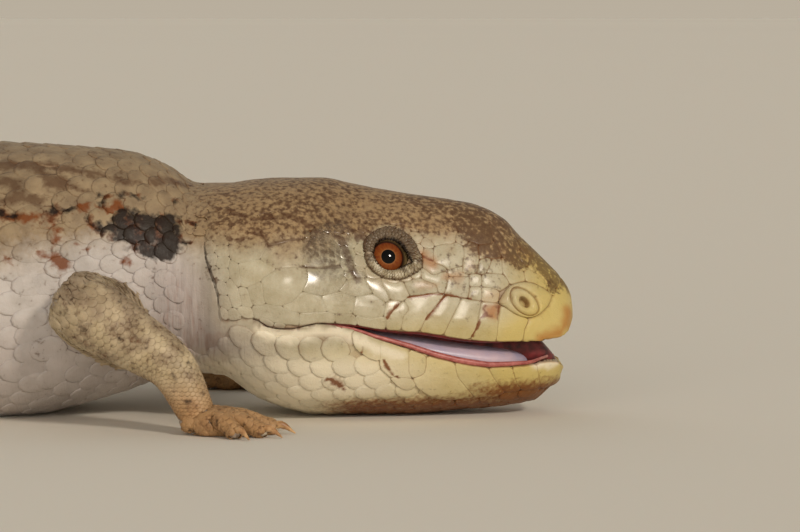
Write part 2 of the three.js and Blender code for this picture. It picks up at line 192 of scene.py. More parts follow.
class Surface:
    # A skin as a table of points: rows run along it, columns go once around it
    def __init__(self, along, points, sheet):
        self.along, self.points, self.sheet = along, points, sheet
        self.columns = points.shape[1] - 1
        down = np.gradient(points, along, axis=0)
        ring = points[:, :-1]
        around = np.roll(ring, -1, 1) - np.roll(ring, 1, 1)
        around = np.concatenate([around, around[:, :1]], 1)
        self.normals = unit(np.cross(down, around))
        self.girths = np.linalg.norm(np.diff(points, axis=1), axis=-1).sum(1)

    def girth(self, distance):
        return np.interp(distance, self.along, self.girths)

    def mix(self, table, distance, turn):
        row = np.interp(distance, self.along, np.arange(len(self.along)))
        i = np.minimum(row.astype(int), len(self.along) - 2)
        column = np.mod(turn, 1) * self.columns
        j = np.minimum(column.astype(int), self.columns - 1)
        f, g = (row - i)[..., None], (column - j)[..., None]
        front = table[i, j] * (1 - g) + table[i, j + 1] * g
        back = table[i + 1, j] * (1 - g) + table[i + 1, j + 1] * g
        return front * (1 - f) + back * f

    def facing(self, distance, turn):
        return unit(self.mix(self.normals, distance, turn))

    def place(self, distance, turn, lift=0):
        distance, turn = np.broadcast_arrays(np.asarray(distance, float), np.asarray(turn, float))
        lift = np.asarray(lift, float)[..., None]
        return self.mix(self.points, distance, turn) + self.facing(distance, turn) * lift

    def patch(self, distance, turn):
        # the root's place on the unwrap that the coat's bake map uses
        left, low, wide, tall = self.sheet
        share = (distance - self.along[0]) / (self.along[-1] - self.along[0])
        return np.stack([left + wide * share, low + tall * np.mod(turn, 1)], -1)


def bodySurface(columns=256):
    along = np.concatenate([np.arange(0, 3, 0.1), np.arange(3, 12, 0.25),
                            np.arange(12, 58, 0.5), np.arange(58, 76, 0.25),
                            np.arange(76, body["totalLength"] + 0.1, 0.5)])
    angles = np.linspace(0, math.pi, 361)
    aside, level = section(along[:, None], angles[None])
    steps = np.hypot(np.diff(aside), np.diff(level))
    runs = np.concatenate([np.zeros((len(along), 1)), np.cumsum(steps, 1)], 1)
    share = np.linspace(0, 1, columns // 2 + 1)
    half = np.array([np.interp(share * run[-1], run, angles) for run in runs])
    turned = np.concatenate([half, 2 * math.pi - half[:, -2::-1]], 1)
    aside, level = section(along[:, None], turned)
    place, _, right = spine(along)
    points = place[:, None] + right[:, None] * (np.sign(np.sin(turned)) * aside)[..., None]
    points[..., 2] = level
    return Surface(along, points, (0.01, 0.02, 0.98, 0.66))


trunk = bodySurface()
print("body laid out:", trunk.points.shape)

# The photograph's camera, and pixels of its 800 by 532 frame brought onto the skin
camera = {"target": (155.05, -41.67, 24.2), "away": 600, "elevation": 4, "pixelsWide": 800,
          "middle": (400, 266), "pixelsPerMillimetre": 6.05, "sensor": 36}


def cameraFrame():
    tilt = math.radians(camera["elevation"])
    forward = np.array([0, math.cos(tilt), -math.sin(tilt)])
    upward = np.array([0, math.sin(tilt), math.cos(tilt)])
    return np.array(camera["target"]) - forward * camera["away"], forward, upward


def toPixels(points):
    eye, forward, upward = cameraFrame()
    away = points - eye
    zoom = camera["pixelsPerMillimetre"] * camera["away"] / (away @ forward)
    return np.stack([camera["middle"][0] + away[..., 0] * zoom,
                     camera["middle"][1] - (away @ upward) * zoom], -1)


def seenTable():
    rows = int(np.searchsorted(trunk.along, 125))
    half = trunk.columns // 2 + 1
    points = trunk.points[:rows, :half]
    facing = ((cameraFrame()[0] - points) * trunk.normals[:rows, :half]).sum(-1) > 0
    return toPixels(points), facing


seenPixels, seenFacing = seenTable()


def onSkin(text):
    # distance from the snout and turn of each pixel's place on the right side
    found = []
    for pixel in pairs(text):
        gap = ((seenPixels - pixel) ** 2).sum(-1) + np.where(seenFacing, 0, 1e9)
        i, j = np.unravel_index(np.argmin(gap), gap.shape)
        i = min(max(i, 1), seenPixels.shape[0] - 2)
        j = min(max(j, 1), seenPixels.shape[1] - 2)
        slopes = np.stack([(seenPixels[i + 1, j] - seenPixels[i - 1, j]) / 2,
                           (seenPixels[i, j + 1] - seenPixels[i, j - 1]) / 2], -1)
        shift = np.linalg.lstsq(slopes, pixel - seenPixels[i, j], rcond=None)[0]
        shift = np.clip(shift, -1, 1)
        row = np.interp(i + shift[0], np.arange(len(trunk.along)), trunk.along)
        found.append((row, (j + shift[1]) / trunk.columns))
    return np.array(found)


# Legs, as part.mjs has them: joints are forward, outward and height from the backbone
fore = {"station": 78, "radii": [6.6, 5.5, 3.3, 2.2], "spread": 24, "claw": 3.4,
        "palm": (5, 4.4, 2.3), "toes": (5.2, 7, 7.8, 7.2, 5), "thick": 1.05}
hind = {"station": 299, "radii": [9.3, 7, 3.8, 2.4], "spread": 22, "claw": 3.4,
        "palm": (6.2, 4.8, 2.5), "toes": (5.4, 7.4, 9.2, 10, 6.2), "thick": 1.1}
legs = {
    "fore_right": {**fore, "side": 1, "pointing": -4,
                   "joints": [(6, 11, 14.5), (0.8, 29, 20), (16.4, 31, 10.8), (20.6, 31.6, 2)]},
    "fore_left": {**fore, "side": -1, "pointing": 26,
                  "joints": [(6, 11, 14.5), (-5, 28, 16.5), (10, 35.5, 9), (14.5, 38, 2)]},
    "hind_right": {**hind, "side": 1, "pointing": 44,
                   "joints": [(1, 9, 15.5), (17, 35, 14.5), (0, 46, 7.4), (4.5, 50, 2.2)]},
    "hind_left": {**hind, "side": -1, "pointing": 82,
                  "joints": [(1, 9, 15.5), (10, 36, 14.5), (-10, 43, 7.4), (-9, 49, 2.2)]},
}


def tubeSurface(path, radii, rows, columns, sheet, soften=0, flatten=1):
    # a round tube along a path, closed with round ends
    path = np.array(path, float)
    run = gone(path)
    fine = np.linspace(0, run[-1], 120)
    points = readLine(fine, run, path)
    radius = np.interp(fine, np.linspace(0, run[-1], len(radii)) if len(radii) != len(path) else run,
                       radii)
    for _ in range(soften):
        points[1:-1] = (points[:-2] + points[1:-1] * 2 + points[2:]) / 4
        radius[1:-1] = (radius[:-2] + radius[1:-1] * 2 + radius[2:]) / 4
    run = gone(points)
    rounded = np.linspace(0, math.pi / 2, 7)
    stations = np.concatenate([-radius[0] * np.cos(rounded)[:-1], np.linspace(0, run[-1], rows),
                               run[-1] + radius[-1] * np.sin(rounded)[1:]])
    held = np.clip(stations, 0, run[-1])
    tangent = unit(readLine(held, run, np.gradient(points, run, axis=0)))
    beyond = stations - held
    centre = readLine(held, run, points) + tangent * beyond[:, None]
    reach = np.sqrt(np.maximum(np.interp(held, run, radius) ** 2 - beyond ** 2, 1e-8))
    side = np.cross(tangent[0], (0, 0, 1))
    sides = []
    for way in tangent:
        side = unit(side - way * (side @ way))
        sides.append(side)
    sides = np.array(sides)
    upright = np.cross(sides, tangent)
    angle = np.linspace(0, 2 * math.pi, columns + 1)[None, :, None]
    ring = upright[:, None] * np.cos(angle) * flatten + sides[:, None] * np.sin(angle)
    return Surface(stations, centre[:, None] + ring * reach[:, None, None], sheet)


def layLeg(leg, number):
    place, tailward, right = spine(float(leg["station"]))
    forward, outward = -tailward, right * leg["side"]
    joints = [place + forward * ahead + outward * aside for ahead, aside, _ in leg["joints"]]
    for spot, (_, _, height) in zip(joints, leg["joints"]):
        spot[2] = height
    palm = joints[3]
    corner = 0.7 + 0.072 * number
    tube = tubeSurface(joints, leg["radii"], 60, 48, (0.01, corner, 0.3, 0.06), 60)

    def pointing(degrees):
        angle = math.radians(leg["pointing"] + degrees)
        return forward * math.cos(angle) + outward * math.sin(angle)

    toes = []
    for i, long in enumerate(leg["toes"]):
        way = pointing((i - 2) * leg["spread"])
        thick, tip = leg["thick"], leg["palm"][0] * 0.72 + long

        def along(*steps, way=way):
            return [(*(palm + way * step)[:2], height) for step, height in steps]

        path = along(((tip - long) * 0.3, 2.2), (tip - long * 0.55, 2.6), (tip, thick * 0.95))
        toe = tubeSurface(path, [thick * 1.2, thick * 1.05, thick * 0.9], 24, 24,
                          (0.45 + 0.11 * i, corner, 0.1, 0.06), 200)
        claw = along((tip - 0.9, 1.25), (tip + leg["claw"] * 0.4, 1.7), (tip + leg["claw"], 0.28))
        toes.append({"tube": toe, "claw": claw})
    long, wide, tall = leg["palm"]
    ends = [palm + pointing(0) * long * share for share in (-0.15, 0.2, 0.62)]
    sole = tubeSurface(ends, [wide * 0.6, wide * 0.95, wide * 0.9], 24, 32,
                       (0.33, corner, 0.1, 0.06), 60, tall / wide)
    return {"tube": tube, "sole": sole, "toes": toes}


limbs = {name: layLeg(leg, i) for i, (name, leg) in enumerate(legs.items())}
print("legs laid out:", len(limbs))


# Meshes
def linkPiece(name, data):
    piece = bpy.data.objects.new(name, data)
    bpy.context.scene.collection.objects.link(piece)
    return piece


def smoothFaces(mesh):
    mesh.polygons.foreach_set("use_smooth", np.ones(len(mesh.polygons), bool))
    mesh.update()


def pieceFrom(name, bm):
    mesh = bpy.data.meshes.new(name)
    bm.to_mesh(mesh)
    bm.free()
    smoothFaces(mesh)
    return linkPiece(name, mesh)


def pointsOf(mesh):
    points = np.zeros(len(mesh.vertices) * 3, np.float32)
    mesh.vertices.foreach_get("co", points)
    return points.reshape(-1, 3).astype(float) * 1000


def setPoints(mesh, points):
    mesh.vertices.foreach_set("co", (points * 0.001).astype(np.float32).ravel())
    mesh.update()


def setValue(mesh, name, values):
    if name in mesh.attributes:
        mesh.attributes.remove(mesh.attributes[name])
    attribute = mesh.attributes.new(name, "FLOAT", "POINT")
    attribute.data.foreach_set("value", np.asarray(values, np.float32))


def gridMesh(name, rows, columns, shape):
    # a grid wrapped into a closed skin: shape(row share, column share) gives the points
    bm = bmesh.new()
    bmesh.ops.create_grid(bm, x_segments=rows, y_segments=columns, size=1)
    spots = np.array([v.co for v in bm.verts])
    row = np.rint((spots[:, 0] + 1) / 2 * rows).astype(int)
    column = np.rint((spots[:, 1] + 1) / 2 * columns).astype(int)
    for v, point in zip(bm.verts, shape(row, column)):
        v.co = point * 0.001
    bmesh.ops.remove_doubles(bm, verts=bm.verts[:], dist=2e-6)
    bmesh.ops.recalc_face_normals(bm, faces=bm.faces[:])
    return pieceFrom(name, bm)


def tubeMesh(name, surface, stations, columns, lift=0.0):
    # a closed mesh on a surface, drawn to a point at both ends
    last = len(stations) - 1

    def shape(row, column):
        turn = np.mod(column, columns) / columns
        points = surface.place(stations[row], turn, lift)
        for end in (0, last):
            points[row == end] = surface.points[0 if end == 0 else -1, :-1].mean(0)
        return points

    return gridMesh(name, last, columns, shape)


def combine(target, cutters, operation):
    for cutter in cutters:
        change = target.modifiers.new("combine", "BOOLEAN")
        change.object = cutter
        change.operation = operation
        change.solver = "EXACT"
    graph = bpy.context.evaluated_depsgraph_get()
    mesh = bpy.data.meshes.new_from_object(target.evaluated_get(graph))
    target.modifiers.clear()
    old, target.data = target.data, mesh
    bpy.data.meshes.remove(old)
    for cutter in cutters:
        bpy.data.objects.remove(cutter)


def ballMesh(name, centre, sizes, segments):
    bm = bmesh.new()
    bmesh.ops.create_uvsphere(bm, u_segments=segments, v_segments=segments // 2, radius=0.001)
    place = Matrix.Translation(Vector(centre) * 0.001) @ Matrix.Diagonal((*sizes, 1))
    bmesh.ops.transform(bm, matrix=place, verts=bm.verts[:])
    return pieceFrom(name, bm)


# A place on the side of the head, and which way the skin faces there
def sideFrame(distance, level, side):
    turns = np.linspace(0.02, 0.48, 400)
    levels = trunk.place(np.full(400, float(distance)), turns)[:, 2]
    turn = float(np.interp(-level, -levels, turns))
    turn = np.array(turn if side > 0 else 1 - turn)
    return trunk.place(distance, turn), trunk.facing(np.array(distance), turn)


eyes = {
    "at": 30.6, "level": 26.8, "radius": 5.0, "depth": 3.95,
    "gaze": (0.24, 1, 0.3),       # forward, outward and up
    "iris": 2.35, "corneaRise": 0.3,
    "opening":
        "374.2,253.6 375.3,247 379,242.6 385,240.2 391.5,240.4 397.5,243 402.5,247.4 406.5,252.7 "
        "410.4,258.9 412.4,262.9 407.7,265.8 402.3,268.5 397,270.8 390.7,271.8 384.5,270.3 379.2,266 "
        "375.7,259.8",
    "fold":
        "365.4,252 365.5,243 372.6,234.6 383.4,229.8 395.4,229.8 405.6,236 412.3,242.9 417.7,254 "
        "420.2,262 417.5,270.1 405.4,276.7 399.6,278 393.4,278.4 386.3,277.2 379.6,274.4 374,270.6 "
        "369,265",
    "lidRise": 0.42,
}
nostrils = {"at": 8.4, "level": 18.7, "radius": 0.8}
ears = {
    # the slit from top to bottom, in pixels
    "line":
        "203.3,241.4 205,257.8 209.5,269 212.6,280 216.5,293.5 217.6,304.7 219.6,321",
    "radii": (0.1, 0.26, 0.46, 0.36, 0.24, 0.12, 0.08), "sunk": 0.3,
}
rostral = {
    # the rear border of the bare shield at the tip of the snout, in pixels, and the chin's
    "border":
        "560.5,280 556,289 552.8,296 549,306 540,314.6 529,319 524.2,329.3 522.6,340.3",
    "atBack": 2.4, "chin": 2.2, "edge": 0.35, "lift": 0.14,
}
mouth = {"from": 5, "to": 43, "palateRise": 3, "floorDrop": 3.4, "cheek": 2.6, "gap": 0.14,
         "closedFrom": 41}


def lowerEdge(distance):
    closed = line["upperLip"](distance) - mouth["gap"]
    return np.where(distance > mouth["closedFrom"], closed,
                    np.minimum(line["lowerLip"](distance), closed))


def mouthCutter():
    # the opening between the lips, straight through from side to side
    stations = np.arange(-4, 53, 1.0)
    wide = 30
    corners = [(snoutPlace[0] - s, line["upperLip"](s)) for s in stations]
    corners += [(snoutPlace[0] - s, lowerEdge(s)) for s in stations[::-1]]
    bm = bmesh.new()
    verts = [bm.verts.new((x * 0.001, (snoutPlace[1] - wide) * 0.001, z * 0.001)) for x, z in corners]
    face = bm.faces.new(verts)
    push = bmesh.ops.extrude_face_region(bm, geom=[face])
    moved = [v for v in push["geom"] if isinstance(v, bmesh.types.BMVert)]
    bmesh.ops.translate(bm, verts=moved, vec=(0, wide * 0.002, 0))
    bmesh.ops.triangulate(bm, faces=bm.faces[:])
    bmesh.ops.recalc_face_normals(bm, faces=bm.faces[:])
    return pieceFrom("opening", bm)


def mouthLens(name, start, end, sideRoom, top, low, rows=36, columns=28, blunt=4, square=1.0):
    # a rounded hollow or filling inside the mouth; square below 1 makes it boxier
    def shape(row, column):
        share = row / rows
        distance = start + (end - start) * share
        swell = np.sqrt(np.maximum(0, 1 - (2 * share - 1) ** blunt))
        angle = column / columns * 2 * math.pi
        place, _, right = spine(distance)
        out, up = (np.sign(way) * np.abs(way) ** square for way in (np.sin(angle), np.cos(angle)))
        aside = out * (line["halfWidth"](distance) - sideRoom) * swell
        points = place + right * aside[:, None]
        points[:, 2] = ((top(distance) + low(distance)) / 2
                        + up * (top(distance) - low(distance)) / 2 * swell)
        return points

    return gridMesh(name, rows, columns, shape)


def lidCurves(side):
    curves = [onSkin(eyes[name]) for name in ("opening", "fold")]
    return curves if side > 0 else [curve * (1, -1) + (0, 1) for curve in curves]


def closedCurve(points, count):
    # a smooth closed line through points, with count places on it
    points = np.asarray(points, float)
    size = len(points)
    place = np.linspace(0, size, count, endpoint=False)
    i = place.astype(int)
    t = (place - i)[:, None]
    a, b, c, d = (points[(i + k) % size] for k in (-1, 0, 1, 2))
    return 0.5 * (2 * b + (c - a) * t + (2 * a - 5 * b + 4 * c - d) * t ** 2
                  + (3 * b - a - 3 * c + d) * t ** 3)


def lidShape(side, around):
    # a closed ring of skin between the opening and the outer fold
    opening, fold = (closedCurve(curve, around) for curve in lidCurves(side))
    inner, outer = trunk.place(*opening.T), trunk.place(*fold.T)
    lift = trunk.facing(*((opening + fold) / 2).T)

    def shape(row, angle):
        row = np.mod(row, around)
        middle, half = (inner[row] + outer[row]) / 2, (outer[row] - inner[row]) / 2
        swell = eyes["lidRise"] * np.sin(angle) * (1 + 0.25 * np.cos(angle)) + 0.1
        return middle + half * np.cos(angle)[..., None] * 1.04 + lift[row] * swell[..., None]

    return shape


def lidMesh(side, around=84, across=18):
    shape = lidShape(side, around)
    return gridMesh("lids", around, across,
                    lambda row, column: shape(row, column / across * 2 * math.pi))


def lidSurface(side, sheet, around=120, across=36):
    # the same ring as a surface for its granules: rows go once round the eye
    shape = lidShape(side, around)
    row, column = np.meshgrid(np.arange(around + 1), np.arange(across + 1), indexing="ij")
    turned = column / across * 2 * math.pi * (1 if side > 0 else -1)
    points = shape(row, turned)
    return Surface(gone(points[:, across // 4]), points, sheet)


def eyeCentre(side):
    point, outward = sideFrame(eyes["at"], eyes["level"], side)
    return point - outward * eyes["depth"]


skinLook = {"sunk": 0.32, "headStep": 0.4, "trunkStep": 2.2, "columns": 192, "soften": 14}
rostralPlaces = onSkin(rostral["border"])
earPlaces = onSkin(ears["line"])


def halfTurn(turn):
    return np.minimum(np.mod(turn, 1), 1 - np.mod(turn, 1))


def bareness(distance, turn):
    # one over the smooth shields at the tips of snout and chin, fading at their border
    half = halfTurn(turn)
    knots = np.concatenate([[(rostral["atBack"], 0)], rostralPlaces])
    order = np.argsort(knots[:, 1])
    limit = np.interp(half, knots[order, 1], knots[order, 0])
    limit = np.where(half > knots[:, 1].max() + 0.012, rostral["chin"], limit)
    return 1 - smoothstep(distance, limit - rostral["edge"], limit)


def skinLift(distance, turn):
    # deep under the scales, less so under the shields of the head, raised on the bare tips
    low = np.where(trunk.place(distance, turn)[:, 2] < lowerEdge(distance) + 1, 1,
                   smoothstep(distance, 50, 57))
    sunk = skinLook["sunk"] * (0.45 + 0.55 * low)
    return -sunk + (sunk + rostral["lift"]) * bareness(distance, turn)


def slitAt(turn):
    # how far from the snout the ear's slit runs at this height, and the head's rear edge
    half = halfTurn(turn)
    rising = earPlaces[np.argsort(earPlaces[:, 1])]
    return np.interp(half, rising[:, 1], rising[:, 0])


def earTube(side):
    turns = earPlaces[:, 1] if side > 0 else 1 - earPlaces[:, 1]
    path = trunk.place(earPlaces[:, 0], turns, -ears["sunk"])
    tube = tubeSurface(path, ears["radii"], 40, 12, (0, 0, 1, 1), soften=6)
    return tubeMesh("slit", tube, tube.along[::2], 12)


def buildSkin():
    stations = np.concatenate([
        np.arange(0, 3, 0.25), np.arange(3, 76, skinLook["headStep"]),
        np.arange(76, 488, skinLook["trunkStep"]), [488]])
    columns = skinLook["columns"]

    def shape(row, column):
        turn = np.mod(column, columns) / columns
        points = trunk.place(stations[row], turn, skinLift(stations[row], turn))
        points[row == 0] = snoutPlace + (0, 0, 14 - snoutPlace[2])
        points[row == len(stations) - 1] = backbone[-1] + (0, 0, 1.2)
        return points

    skin = gridMesh("skin", len(stations) - 1, columns, shape)
    added = []
    for name, limb in limbs.items():
        toes = [(toe["tube"], 16, 12, -0.1) for toe in limb["toes"]]
        for tube, rows, around, lift in [(limb["tube"], 44, 36, -0.25), (limb["sole"], 20, 24, -0.2),
                                         *toes]:
            added.append(tubeMesh(name, tube, np.linspace(tube.along[0], tube.along[-1], rows), around,
                                  lift))
    combine(skin, added, "UNION")
    # the creases where limbs and toes meet the body are drawn into soft folds
    soften(skin, lambda edge: not edge.is_convex and edge.calc_face_angle(0) > 0.5,
           70, 4, skinLook["soften"], 0.5)
    combine(skin, [lidMesh(side) for side in (1, -1)], "UNION")
    cutters = [mouthCutter(), mouthLens(
        "hollow", mouth["from"], mouth["to"], mouth["cheek"],
        lambda s: line["upperLip"](s) + mouth["palateRise"],
        lambda s: lowerEdge(s) - mouth["floorDrop"])]
    for side in (1, -1):
        point, _ = sideFrame(nostrils["at"], nostrils["level"], side)
        pit = nostrils["radius"] * 1.25
        cutters.append(ballMesh("pit", point, (pit, pit * 1.3, pit), 16))
        cutters.append(earTube(side))
        cutters.append(ballMesh("socket", eyeCentre(side), (eyes["radius"] + 0.25,) * 3, 32))
    combine(skin, cutters, "DIFFERENCE")
    # lips and ear edges are rounded a little
    soften(skin, lambda edge: edge.calc_face_angle(0) > 0.7 and
           behindSnout(edge.verts[0]) < mouth["closedFrom"] - 2, -99, 0, 3, 0.4)
    return skin


def behindSnout(v):
    return snoutPlace[0] - v.co.x * 1000


def soften(skin, creased, start, spread, rounds, factor):
    # smooths the corners of creased edges from this distance behind the snout on
    bm = bmesh.new()
    bm.from_mesh(skin.data)
    chosen = {v for edge in bm.edges if len(edge.link_faces) == 2 and creased(edge)
              for v in edge.verts if behindSnout(v) > start}
    for _ in range(spread):
        chosen |= {e.other_vert(v) for v in list(chosen) for e in v.link_edges}
    for _ in range(rounds):
        bmesh.ops.smooth_vert(bm, verts=list(chosen), factor=factor, use_axis_x=True,
                              use_axis_y=True, use_axis_z=True)
    for v in bm.verts:
        v.co.z = max(v.co.z, 2e-5)
    bm.to_mesh(skin.data)
    bm.free()
    smoothFaces(skin.data)


skin = buildSkin()
print("skin built:", len(skin.data.polygons), "faces")
skinPoints = pointsOf(skin.data)

tree = BVHTree.FromPolygons(skinPoints.tolist(), [tuple(p.vertices) for p in skin.data.polygons])

# Markings: strokes along pixels of the photograph, each after its width in mm, and what the
# species has
strokes = {
    "dark": """
    1.4 -10,213 4,214.5 14,216 / 1.3 101,194.6 106,194.6 / 1.4 122,194.6 129,195 / 1.4 138.5,196.5
    144,197.5 / 0.9 174,201.5 177,201.5 / 1.2 100,202 104,207 / 1.1 188,221.5 193,224 / 0.7 183,241
    190,241.5 / 1.3 88,219 97,224 104,231""",
    "rust": """
    1.4 11,217 34,219.5 / 1.5 80,208 90,206 100,210 / 1.3 84,222 95,230 / 1.1 108.4,211.4 114,208
    119.1,203.8 / 0.8 129.8,224.4 137.5,229.8 135,240 132,247.4 / 1.5 53.5,257 58,259.5 64,262.5 / 1.3
    124.5,262 128,263.5 / 0.9 41,251 41.5,256 / 0.7 86,249 88.5,250 / 0.6 76,244.5 78.5,245.5 / 0.9
    6,259 9,261 / 0.5 398,305 392,311 387,318 / 0.35 477,327.4 472,335.8 / 0.35 482,306 485,312
    477,326 / 0.25 482,305.5 499,306 496.4,321 487.5,315.5 / 0.7 329,378 336,382 342,388 351,393 / 0.3
    362,347 361,354 365,358 368,363 373,364 / 0.4 420,254 425,258 432,262 / 0.3 408,297 440,294
    470,299 / 0.3 445,296 437,306 426,319 / 0.3 384,360 390,373 400,378""",
    # pale strokes clear the other marks: the first four are pale spots of the skin, the next six are
    # painted highlights where scales glint
    "pale": """
    0.8 109,233 111,234.5 / 0.8 124,243 126.5,244.5 / 0.9 145.5,210.5 146.5,213.5 / 0.7 103,214
    104.5,216.5 / 1.3 60,216 62.5,217 / 1 34,223.5 37,225 / 0.9 49,230 52,231 / 1.1 81,223.5 84,227 /
    0.9 94,209.5 96.5,211 / 0.8 90.5,232 93,234 / 0.6 71,219 76,221""",
    "brown": """
    2 -6,166 17,164 38,166 47,179 58,183 / 1.5 64,185 75,188 88,191 / 1.2 40,163 94,174 120,180
    147,184 190,186 / 1.3 3,180 17,187 20,196 4,199 / 1.2 20,196 34,198 38,203 / 1.1 220,209 242,216
    257,219 289,215 302,221 315,232 / 0.7 228,239 237,242 250,233 261,234 269,245 289,240 306,239 /
    0.5 261,220 263,233 / 0.55 338,208 350,221 357,241 / 0.9 343,240 346,252 350,267 357,280 / 0.5
    335,232 341,246 / 0.8 361,229 366,241 / 0.45 300,267 322,268 344,266 / 1.5 552,284 554,290""",
    "milk": """
    1.7 258,332 290,337.5 312,333 336,332 356,339 380,350.5 402,358 / 1.1 536,364.5 557,362""",
    # amber: a spot before the eye, and along the lower front edge of the snout's tip a stroke that is
    # partly its orange colour and partly painted shade
    "amber": """
    1.7 422,255 426,260 431,264 / 1.8 568,312 566,324 556,334 542,338""",
    "lip": """
    0.35 254,321 273.4,327.4 288.6,329 306,325.2 317.9,323 338.5,325.8""",
}
patches = {
    "dark": """
    126.8,205.3 141.3,213 162.7,213.7 182.6,216 183,239 179.6,248.1 171.2,258.9 158.1,261.2
    145.9,257.3 129.8,249.7 118.4,240.5 106,237 104.6,223.7 111.5,215.2 / 43,216 48,206 53.6,201.5
    57,206 66,208 72.7,203 77,208 73,214 64,220.6 50,220""",
    "rust": """
    43,223.7 65.8,223.7 62,238 55.9,252 50,240""",
    "amber": """
    480.5,304.9 499,304.9 496.2,321 486.1,315.4""",
    # wet skin behind the eye, and the sheen on the cheek below it
    "damp": """
    303,233 318,228 335,222 345,220 352,232 350,250 352,265 330,266 306,266 301,250 / 305,272 330,268
    352,270 385,282 402,296 400,306 372,300 345,306 318,300 304,290""",
}
pattern = {
    "bands": [104, 131, 158, 184, 210, 237, 263, 288, 313, 337, 361, 384, 407, 428, 448, 466],
    "bandHalfLong": 5.2, "backReach": 0.3, "flankMiddle": 0.36, "flankReach": 0.17,
    "noiseSize": 3.4, "streakSize": 2.2,
}
noiseTable = np.random.default_rng(7).random((32, 32, 32))


def patchy(points, size):
    # soft random patches of about this size in mm, from 0 to 1
    place = np.asarray(points) / size + 96
    whole = np.floor(place).astype(int)
    share = place - whole
    share = share * share * (3 - 2 * share)
    total = 0
    for corner in np.ndindex(2, 2, 2):
        weight = np.prod(np.where(corner, share, 1 - share), -1)
        total = total + weight * noiseTable[tuple(((whole + corner) % 32)[..., k] for k in range(3))]
    return total


laidMarks = [(kind, 0, onSkin(outline)) for kind, rows in patches.items() for outline in rows.split("/")]
for kind, rows in strokes.items():
    for width, path in (row.split(maxsplit=1) for row in rows.split("/")):
        laidMarks.append((kind, float(width) / 2, onSkin(path)))


def insideOutline(spots, outline):
    # which places lie inside an outline, by the crossings to one side
    inside = np.zeros(len(spots), bool)
    for a, b in zip(outline, np.roll(outline, -1, 0)):
        if a[1] != b[1]:
            spans = (a[1] > spots[:, 1]) != (b[1] > spots[:, 1])
            meets = a[0] + (spots[:, 1] - a[1]) / (b[1] - a[1]) * (b[0] - a[0])
            inside ^= spans & (spots[:, 0] < meets)
    return inside


def gapToLine(spots, across, path):
    # mm from each place to a line; turns are stretched by the girth
    best = np.full(len(spots), 99.0)
    for a, b in zip(path[:-1], path[1:]):
        start = np.stack([spots[:, 0] - a[0], (spots[:, 1] - a[1]) * across], -1)
        run = np.stack([0 * across + (b[0] - a[0]), (b[1] - a[1]) * across], -1)
        share = (start * run).sum(-1) / np.maximum((run ** 2).sum(-1), 1e-9)
        best = np.minimum(best, np.linalg.norm(start - run * np.clip(share, 0, 1)[:, None], axis=-1))
    return best


def gapTo(spots, across, outline):
    # mm from each place to an outline, negative inside it
    best = gapToLine(spots, across, [*outline, outline[0]])
    return np.where(insideOutline(spots, outline), -best, best)


def strokeMarks(distance, turn, points):
    # how strongly each kind of stroke or patch colours each place
    found = {kind: np.zeros(len(distance)) for kind in (*strokes, *patches)}
    near = np.flatnonzero(distance < 115)
    spots = np.stack([distance, halfTurn(turn)], -1)
    across = trunk.girth(distance)
    ragged = (patchy(points, 1.1) - 0.5) * 1.1
    for kind, reach, places in laidMarks:
        ends = places[:, 0].min() - 6, places[:, 0].max() + 6
        chosen = near[(distance[near] > ends[0]) & (distance[near] < ends[1])]
        gap = gapToLine if reach else gapTo
        best = gap(spots[chosen], across[chosen], places) - reach
        wide = min(0.7, reach + 0.1 if reach else 0.7)
        best = best + ragged[chosen] * wide * (1.8 if kind == "brown" else 1)
        soft = 0.15 + wide * (0.2 if kind in ("dark", "rust", "lip") else
                              1.3 if kind == "amber" and reach else 0.5)
        found[kind][chosen] = np.maximum(found[kind][chosen], 1 - smoothstep(best, -soft, soft))
    # pale strokes clear the marks under them, both for pale spots of the skin and for painted highlights
    return {kind: value * (1 - found["pale"]) for kind, value in found.items() if kind != "pale"}


# the lower border of the dark crown: level at each distance, in mm
crownEdge = smoothLine("0,19 3,20.5 5.5,22.5 12,25 20,29.2 30,30.6 45,30 60,31.5 90,31.5")


